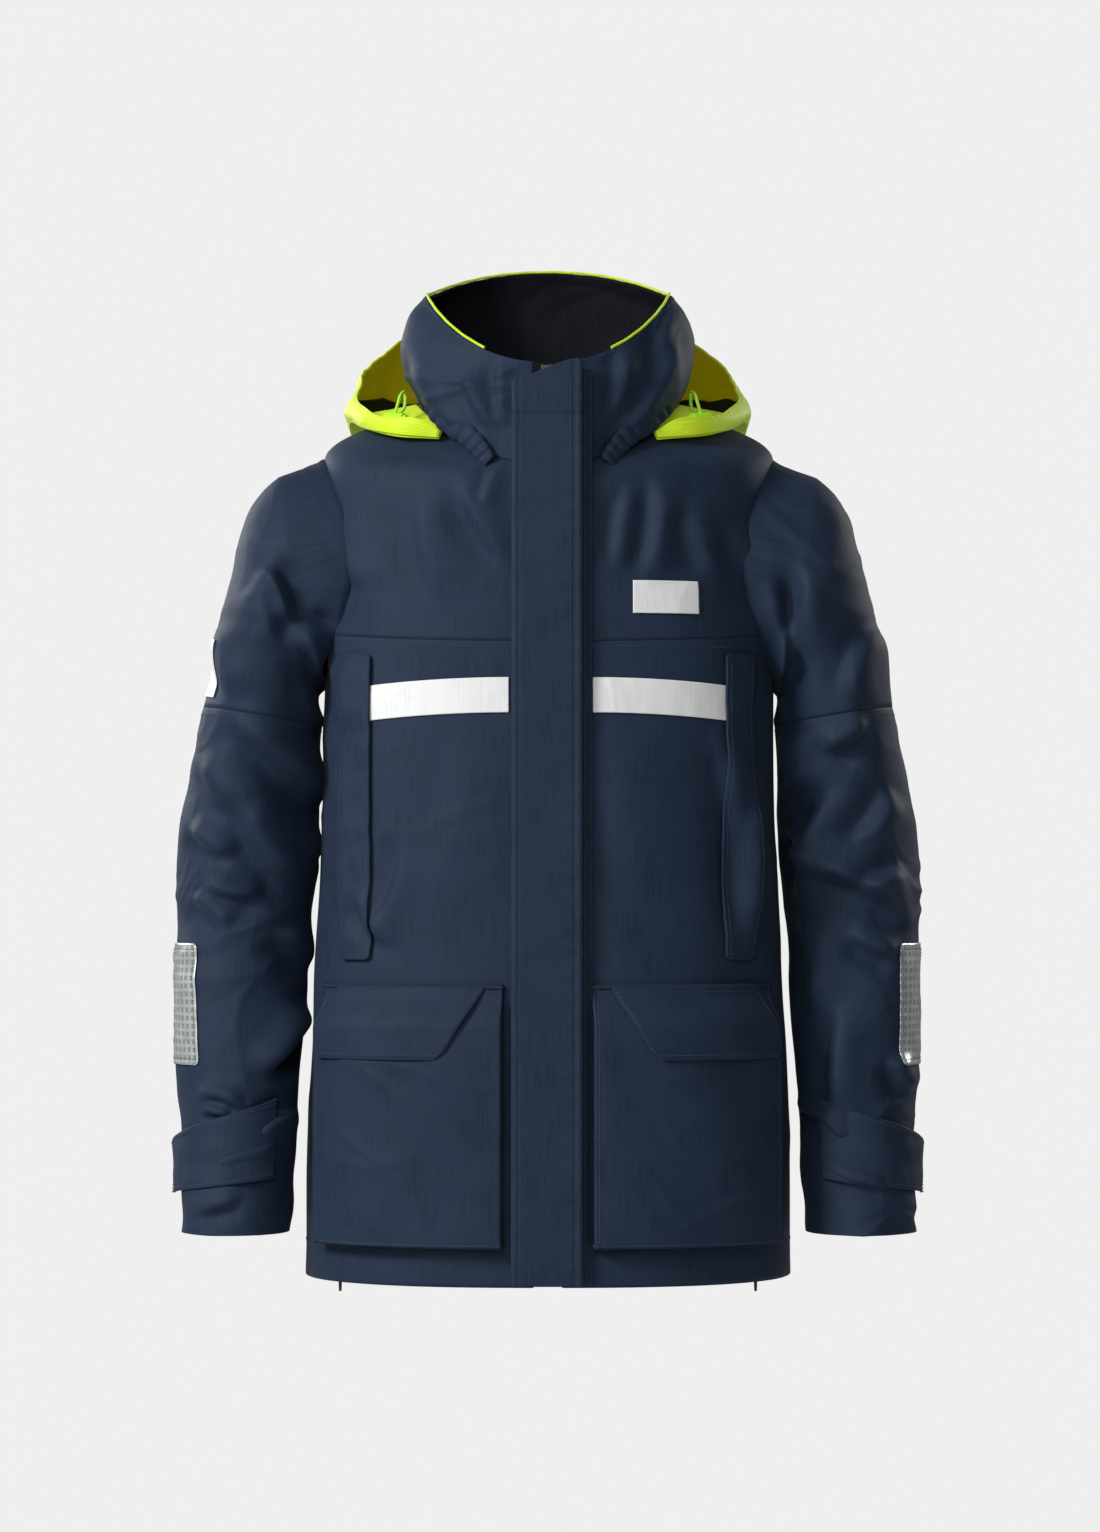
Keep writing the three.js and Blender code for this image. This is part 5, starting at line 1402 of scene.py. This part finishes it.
HOOD_OUTSIDE = part_of(HOOD_BOWL, 0.0, 1.0, 0.0, hood_end)
HOOD_FACING = part_of(HOOD_BOWL, 0.0, 1.0, facing_start, hood_end)
HOOD_MESH = part_of(HOOD_BOWL, 0.06, 0.94, 0.05, mesh_end)
HOOD_LOWER = part_of(HOOD_YOKE, 0.0, 1.0, 0.2, 1.0)
NECK_PANEL = part_of(HOOD_YOKE, 0.0, 1.0, 0.0, 1.0)
# The shell's inside and the facing take the painted mustard shade, with painted light at the front tips.
cloth("hood_cloth", HOOD_OUTSIDE, 260, 80, (LIME, INSIDE_PAINTED_SHADE), 1.6, -1, hood_folds, 1.8, body="hood",
      replaces=["hood_shell"], held="hung")
cloth("hood_facing", HOOD_FACING, 260, 40, (INSIDE_PAINTED_SHADE,), 0.6, -1, hood_folds, -0.15, body="hood",
      held="hung")
cloth("hood_mesh", HOOD_MESH, 220, 60, (MESH,), 0.5, -1, mesh_folds, -1.0, body="hood",
      replaces=["hood_mesh_lining"], held="hung")
cloth("hood_lower_cloth", HOOD_LOWER, 200, 34, (LIME,), 1.0, -1, yoke_folds, 2.4, body="hood",
      held="hung")
panel = cloth("hood_neck_cloth", NECK_PANEL, 200, 40, (LIME,), 1.4, -1, yoke_folds, 0.7,
              replaces=["hood_neck_panel"], held="hung")
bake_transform(panel)

# %% [markdown]
# ## Drawcords
# A cord lock sits at each front tip of the hood. A short loop of cord comes out of it. The locks at the
# hem are plain black barrels with a loop below. The lock's place is measured on the hood itself, so that
# the loop comes out of its barrel. The loop is a curve through a few chosen points, because a short stiff
# cord takes the same bend.

# %% Cord locks and loops
LOCK_U, LOCK_V, LOCK_RADIUS, LOCK_RAISE = 0.06, 0.86, 4.5, 1.9
HOOD_CORD_RADIUS, HEM_CORD_RADIUS = 1.4, 1.2


def unit(vector):
    return vector / np.linalg.norm(vector)


def lock_frame():
    """The right lock's place on the hood and its own directions: along, up and side."""
    u, v, zero = np.array([LOCK_U]), np.array([LOCK_V]), np.zeros(1)
    seat = HOOD_BOWL(u, v, zero)[0]
    outward = unit(HOOD_BOWL(u, v, zero + 1)[0] - seat)
    along = unit(HOOD_BOWL(u - 0.02, v, zero)[0] - HOOD_BOWL(u + 0.02, v, zero)[0])
    up = unit(np.cross(outward, along))
    up = up if up[2] > 0 else -up
    side = np.cross(up, along)
    return seat - outward * (LOCK_RADIUS + LOCK_RAISE), along, up, side

# %% Cord loops
def free_loop(name, route, radius, material, body, node, sign):
    """A drawcord's end loop: its two ends go back into the lock."""
    route = np.asarray(route) * [sign, 1, 1]
    line = smooth_line(route)
    path = line(np.linspace(0, 1, 60))
    piece = tube(name, path, radius, material, body, [node])


origin, along, up, sideways = lock_frame()
foot = LOCK_RADIUS + 0.3  # where the cord leaves the barrel
HOOD_LOOP = [[-3, 0, foot], [-5, 1, foot + 8], [-5, 0, foot + 15], [0, -2, foot + 21], [5, -2, foot + 15],
             [5, 0, foot + 8], [3, 0, foot]]
HEM_LOOP = [(-2.2, 5), (-2.6, 0), (-4, -6), (0, -13), (4, -6), (2.6, 0), (2.2, 5)]
print("cord lock at", np.round(to_frame(origin), 4))

# %% [markdown]
# ## Stitching
# Every seam is topstitched with a thread a little paler than the cloth. One stitch is a bevelled bar,
# repeated along the seam's own line by an Array and a Curve modifier. A bump in the material would be
# lighter, but stitches stand up from the cloth, and a bar of a few dozen faces can be repeated hundreds
# of times.

# %% Stitch helper
def line_on(surface, u, v, sign=-1, folds=None, lift=0.2):
    """Points of a line drawn on a surface, with the same folds as the cloth under it."""
    u, v = np.broadcast_arrays(np.asarray(u, float), np.asarray(v, float))
    zero = np.zeros(u.shape)
    base = surface(u, v, zero)
    outward = surface(u, v, zero + 1) - base
    outward /= np.linalg.norm(outward, axis=-1, keepdims=True)
    if sign > 0:
        base, outward = base * [-1, 1, 1], outward * [-1, 1, 1]
    height = zero + lift + (folds(base, outward) if folds else 0)
    return base + outward * height[..., None]

# %% A row of stitches
def stitches(name, route, body, material=None, pitch=3.0, size=(2.05, 0.55, 0.5)):
    """A row of stitches: one bevelled bar, arrayed and bent along the line."""
    clear_selection()
    curve = bpy.data.curves.new(name + "_line", "CURVE")
    curve.dimensions = "3D"
    spline = curve.splines.new("POLY")
    spline.points.add(len(route) - 1)
    for point, place in zip(spline.points, to_frame(route)):
        point.co = (*place, 1.0)
    guide = bpy.data.objects.new(name + "_line", curve)
    bpy.context.scene.collection.objects.link(guide)
    length = float(np.linalg.norm(np.diff(route, axis=0), axis=1).sum())
    bpy.ops.mesh.primitive_cube_add(size=1)
    piece = bpy.context.object
    piece.name = piece.data.name = name
    piece.scale = [length_mm * MM for length_mm in size]
    bpy.ops.object.transform_apply(location=False, rotation=False, scale=True)
    apply_modifier(piece, "BEVEL", width=0.3 * size[2] * MM, segments=1)
    apply_modifier(piece, "ARRAY", count=max(2, int(length / pitch)), use_relative_offset=False,
                   use_constant_offset=True, constant_offset_displace=(pitch * MM, 0, 0))
    apply_modifier(piece, "CURVE", object=guide, deform_axis="POS_X")
    bpy.data.objects.remove(guide)
    piece.data.materials.append(material or THREAD)
    keep(piece, body, ())
    return piece


print("thread:", THREAD.name)

# %% [markdown]
# The storm flap has a double row beside its sewn edge, a single one at its free edge and one across,
# level with the neck seam. Each row is a line on the same surface as the cloth under it, with the same
# folds.

# %% Stitches on the storm flap
FULL = np.linspace(0, 1, 120)
ALONG = 0.02 + 0.96 * FULL
DOUBLE_ROW, CROSS_ROW = (19.5, 25.5), -24.0
for number, x in enumerate(DOUBLE_ROW):
    row = line_on(STORM_FLAP, (x - FLAP_FROM) / FLAP_WIDTH, ALONG)
    stitches(f"flap_stitches_{number}", row, "storm_flap")
stitches("flap_stitches_edge", line_on(STORM_FLAP, 4 / FLAP_WIDTH, ALONG), "storm_flap")
seam_x = -26 + 43 * FULL
seam_v = (CROSS_ROW - FLAP_FOOT) / (flap_top(seam_x) - FLAP_FOOT)
stitches("flap_stitches_top", line_on(STORM_FLAP, (seam_x - FLAP_FROM) / FLAP_WIDTH, seam_v), "storm_flap")

# %% [markdown]
# The other rows run along the yoke and the hem, round the pockets and their flaps, the cuff tabs and the
# reflective bands, and along the upper-arm seam, the hood's rim and the collar's top.

# %% Stitches on the rest
def flap_waves(points, outward):
    return unevenness(points, 0.5, 60)


def tab_waves(points, outward):
    return unevenness(points, 0.3, 30)


HEM_ROW = (0.233, 0.234)  # the hem's fold is 30 mm deep
for side, sign in SIDES:
    seam = front_patch(33, 186, -216, -210)
    stitches(f"yoke_stitches_{side}", line_on(seam, FULL, 0.0, sign, body_folds), "jacket")
    hem = body_surface(*HEM_ROW, front_turns)
    stitches(f"hem_stitches_{side}", line_on(hem, 0.02 + 0.84 * FULL, 0.0, sign, body_folds), "jacket")
    for number, share in enumerate((0.14, 0.86)):
        stitches(f"hand_flap_stitches_{side}_{number}",
                 line_on(front_patch(*HAND_FLAP), share, ALONG, sign, body_folds, 4.3), f"hand_flap_{side}")
    for number, share in enumerate((0.105, 0.895)):
        stitches(f"pocket_stitches_{side}_{number}",
                 line_on(pocket_surface, share, 0.1 + 0.88 * FULL, sign, pocket_folds), "jacket")
    foot_row = line_on(pocket_surface, 0.1 + 0.8 * FULL, 0.085, sign, pocket_folds)
    stitches(f"pocket_stitches_{side}_foot", foot_row, "jacket")
    for number, (u, v) in enumerate(((ALONG, 0.07), (ALONG, 0.93), (0.025, ALONG), (0.975, ALONG))):
        stitches(f"cargo_flap_stitches_{side}_{number}",
                 line_on(cargo_flap_surface, u, v, sign, flap_waves), f"cargo_flap_{side}")
    for number, (u, v) in enumerate(((ALONG, 0.06), (ALONG, 0.94), (0.975, ALONG))):
        stitches(f"tab_stitches_{side}_{number}",
                 line_on(cuff_tab_surface, u, v, sign, tab_waves, 0.5), f"cuff_tab_{side}")
    for number, (u, v) in enumerate(((ALONG, 0.05), (ALONG, 0.95), (0.06, ALONG), (0.94, ALONG))):
        stitches(f"band_stitches_{side}_{number}", line_on(BAND, u, v, sign, sleeve_folds(side), 1.7),
                 f"forearm_{side}")
    stitches(f"arm_seam_stitches_{side}", line_on(tube_surface, FULL, 0.014, sign, sleeve_folds(side)),
             f"upper_sleeve_{side}")
hem = body_surface(*HEM_ROW, back_turns)
stitches("hem_stitches_back", line_on(hem, ALONG, 0.0, -1, body_folds), "jacket")
stitches("hood_rim_stitches", line_on(HOOD_OUTSIDE, ALONG, 0.93, -1, hood_folds, 2.0), "hood", CORD_LIME)
collar_row = line_on(collar_surface, 0.01 + 0.98 * np.linspace(0, 1, 240), 0.97, 1, collar_folds)
stitches("collar_stitches", collar_row, "jacket")

# %% [markdown]
# ## Zip, locks and loops
# The zip is two tapes with a row of teeth on each. The tape is a cloth like any other, and the teeth are
# one bar, arrayed down the tape's edge just as a stitch is. The cord locks, their buttons, the slider and
# its puller already have their shape in the frame, so they only need their finish.

# %% Zip
TOOTH_PITCH, TOOTH_SIZE = 2.5, (1.5, 2.6, 2.8)
TOOTH_TOP, TOOTH_FOOT, TOOTH_POINTS = 24.0, -742, 200


def cad(name, material):
    """A CAD node that already has its right shape only needs its finish."""
    node = bpy.data.objects[name]
    if not node.material_slots:
        node.data.materials.append(material)
    for slot in node.material_slots:
        slot.material = material
    return node


def zip_half(side, sign):
    """The left half's teeth sit half a pitch lower, so that the two rows mesh."""
    shift = 0.0 if sign < 0 else TOOTH_PITCH / 2
    tape = zip_patch(sign * 1.6, sign * 11.7, -745.9, 26.0, -0.4)
    cloth(f"zip_tape_{side}", tape, 8, 300, (LINING,), 1.0, body="jacket", replaces=[f"zip_half_{side}"])
    z = np.linspace(TOOTH_TOP - shift, TOOTH_FOOT, TOOTH_POINTS)
    chain = from_zip(np.stack([np.full(TOOTH_POINTS, sign * 2.0), np.full(TOOTH_POINTS, 0.9), z], -1))
    stitches(f"zip_teeth_{side}", chain, "jacket", BLACK_ACETAL, TOOTH_PITCH, TOOTH_SIZE)


def cord_ends(side, sign):
    """The hood's loop, from inside its barrel and back, and the hem's, which hangs below its own."""
    cad(f"hood_cord_lock_{side}", LIME_ACETAL)
    cad(f"hood_lock_button_{side}", LIME_ACETAL)
    cad(f"hem_cord_lock_{side}", BLACK_ACETAL)
    route = [origin + sideways * a + along * b + up * c for a, b, c in HOOD_LOOP]
    inner = origin + sideways * -2.6 + up * 1.5
    outer = origin + sideways * 2.6 + up * 1.5
    free_loop(f"hood_loop_{side}", [inner, *route, outer], HOOD_CORD_RADIUS, CORD_LIME, "hood",
              f"hood_cord_loop_{side}", -sign)
    seat = on_front(184.0, -745.0, -7.6)
    seat = seat * [-1, 1, 1] if seat[0] < 0 else seat
    low = seat[2] - 7.3  # the barrel's foot
    hem_route = [[seat[0], seat[1] + a, low + b] for a, b in HEM_LOOP]
    free_loop(f"hem_loop_{side}", hem_route, HEM_CORD_RADIUS, CORD_BLACK, "jacket",
              f"hem_cord_loop_{side}", sign)


for side, sign in SIDES:
    zip_half(side, sign)
    cord_ends(side, sign)
cad("zip_slider", BLACK_ACETAL)
cad("zip_puller", BLACK_ACETAL)

# %% [markdown]
# ## Hanger loop
# A short strap is sewn inside the back of the neck by its two ends, and stands a little away in between,
# so that a hook can go through. It could be a bent bar, but it is tape, so it is a narrow cloth like the
# rest.

# %% Hanger loop
HANGER_HALF, HANGER_HEIGHT = 38, 8
HANGER_BACK, HANGER_FOOT = 77.86, 24.44


def hanger_surface(u, v, out):
    x = -HANGER_HALF + 2 * HANGER_HALF * u
    bow = 1.2 * np.sin(math.pi * u)
    back = 3.4 * smooth_step(0.08, 0.0, u) + 3.4 * smooth_step(0.92, 1.0, u)
    return np.stack([x, HANGER_BACK - bow + back - out, HANGER_FOOT + HANGER_HEIGHT * v], -1)


hanger = cloth("hanger_strap", hanger_surface, 60, 8, (LINING,), 1.4, -1, body="jacket",
               replaces=["hanger_loop"])
print("hanger strap:", np.round(np.array(hanger.dimensions), 4))
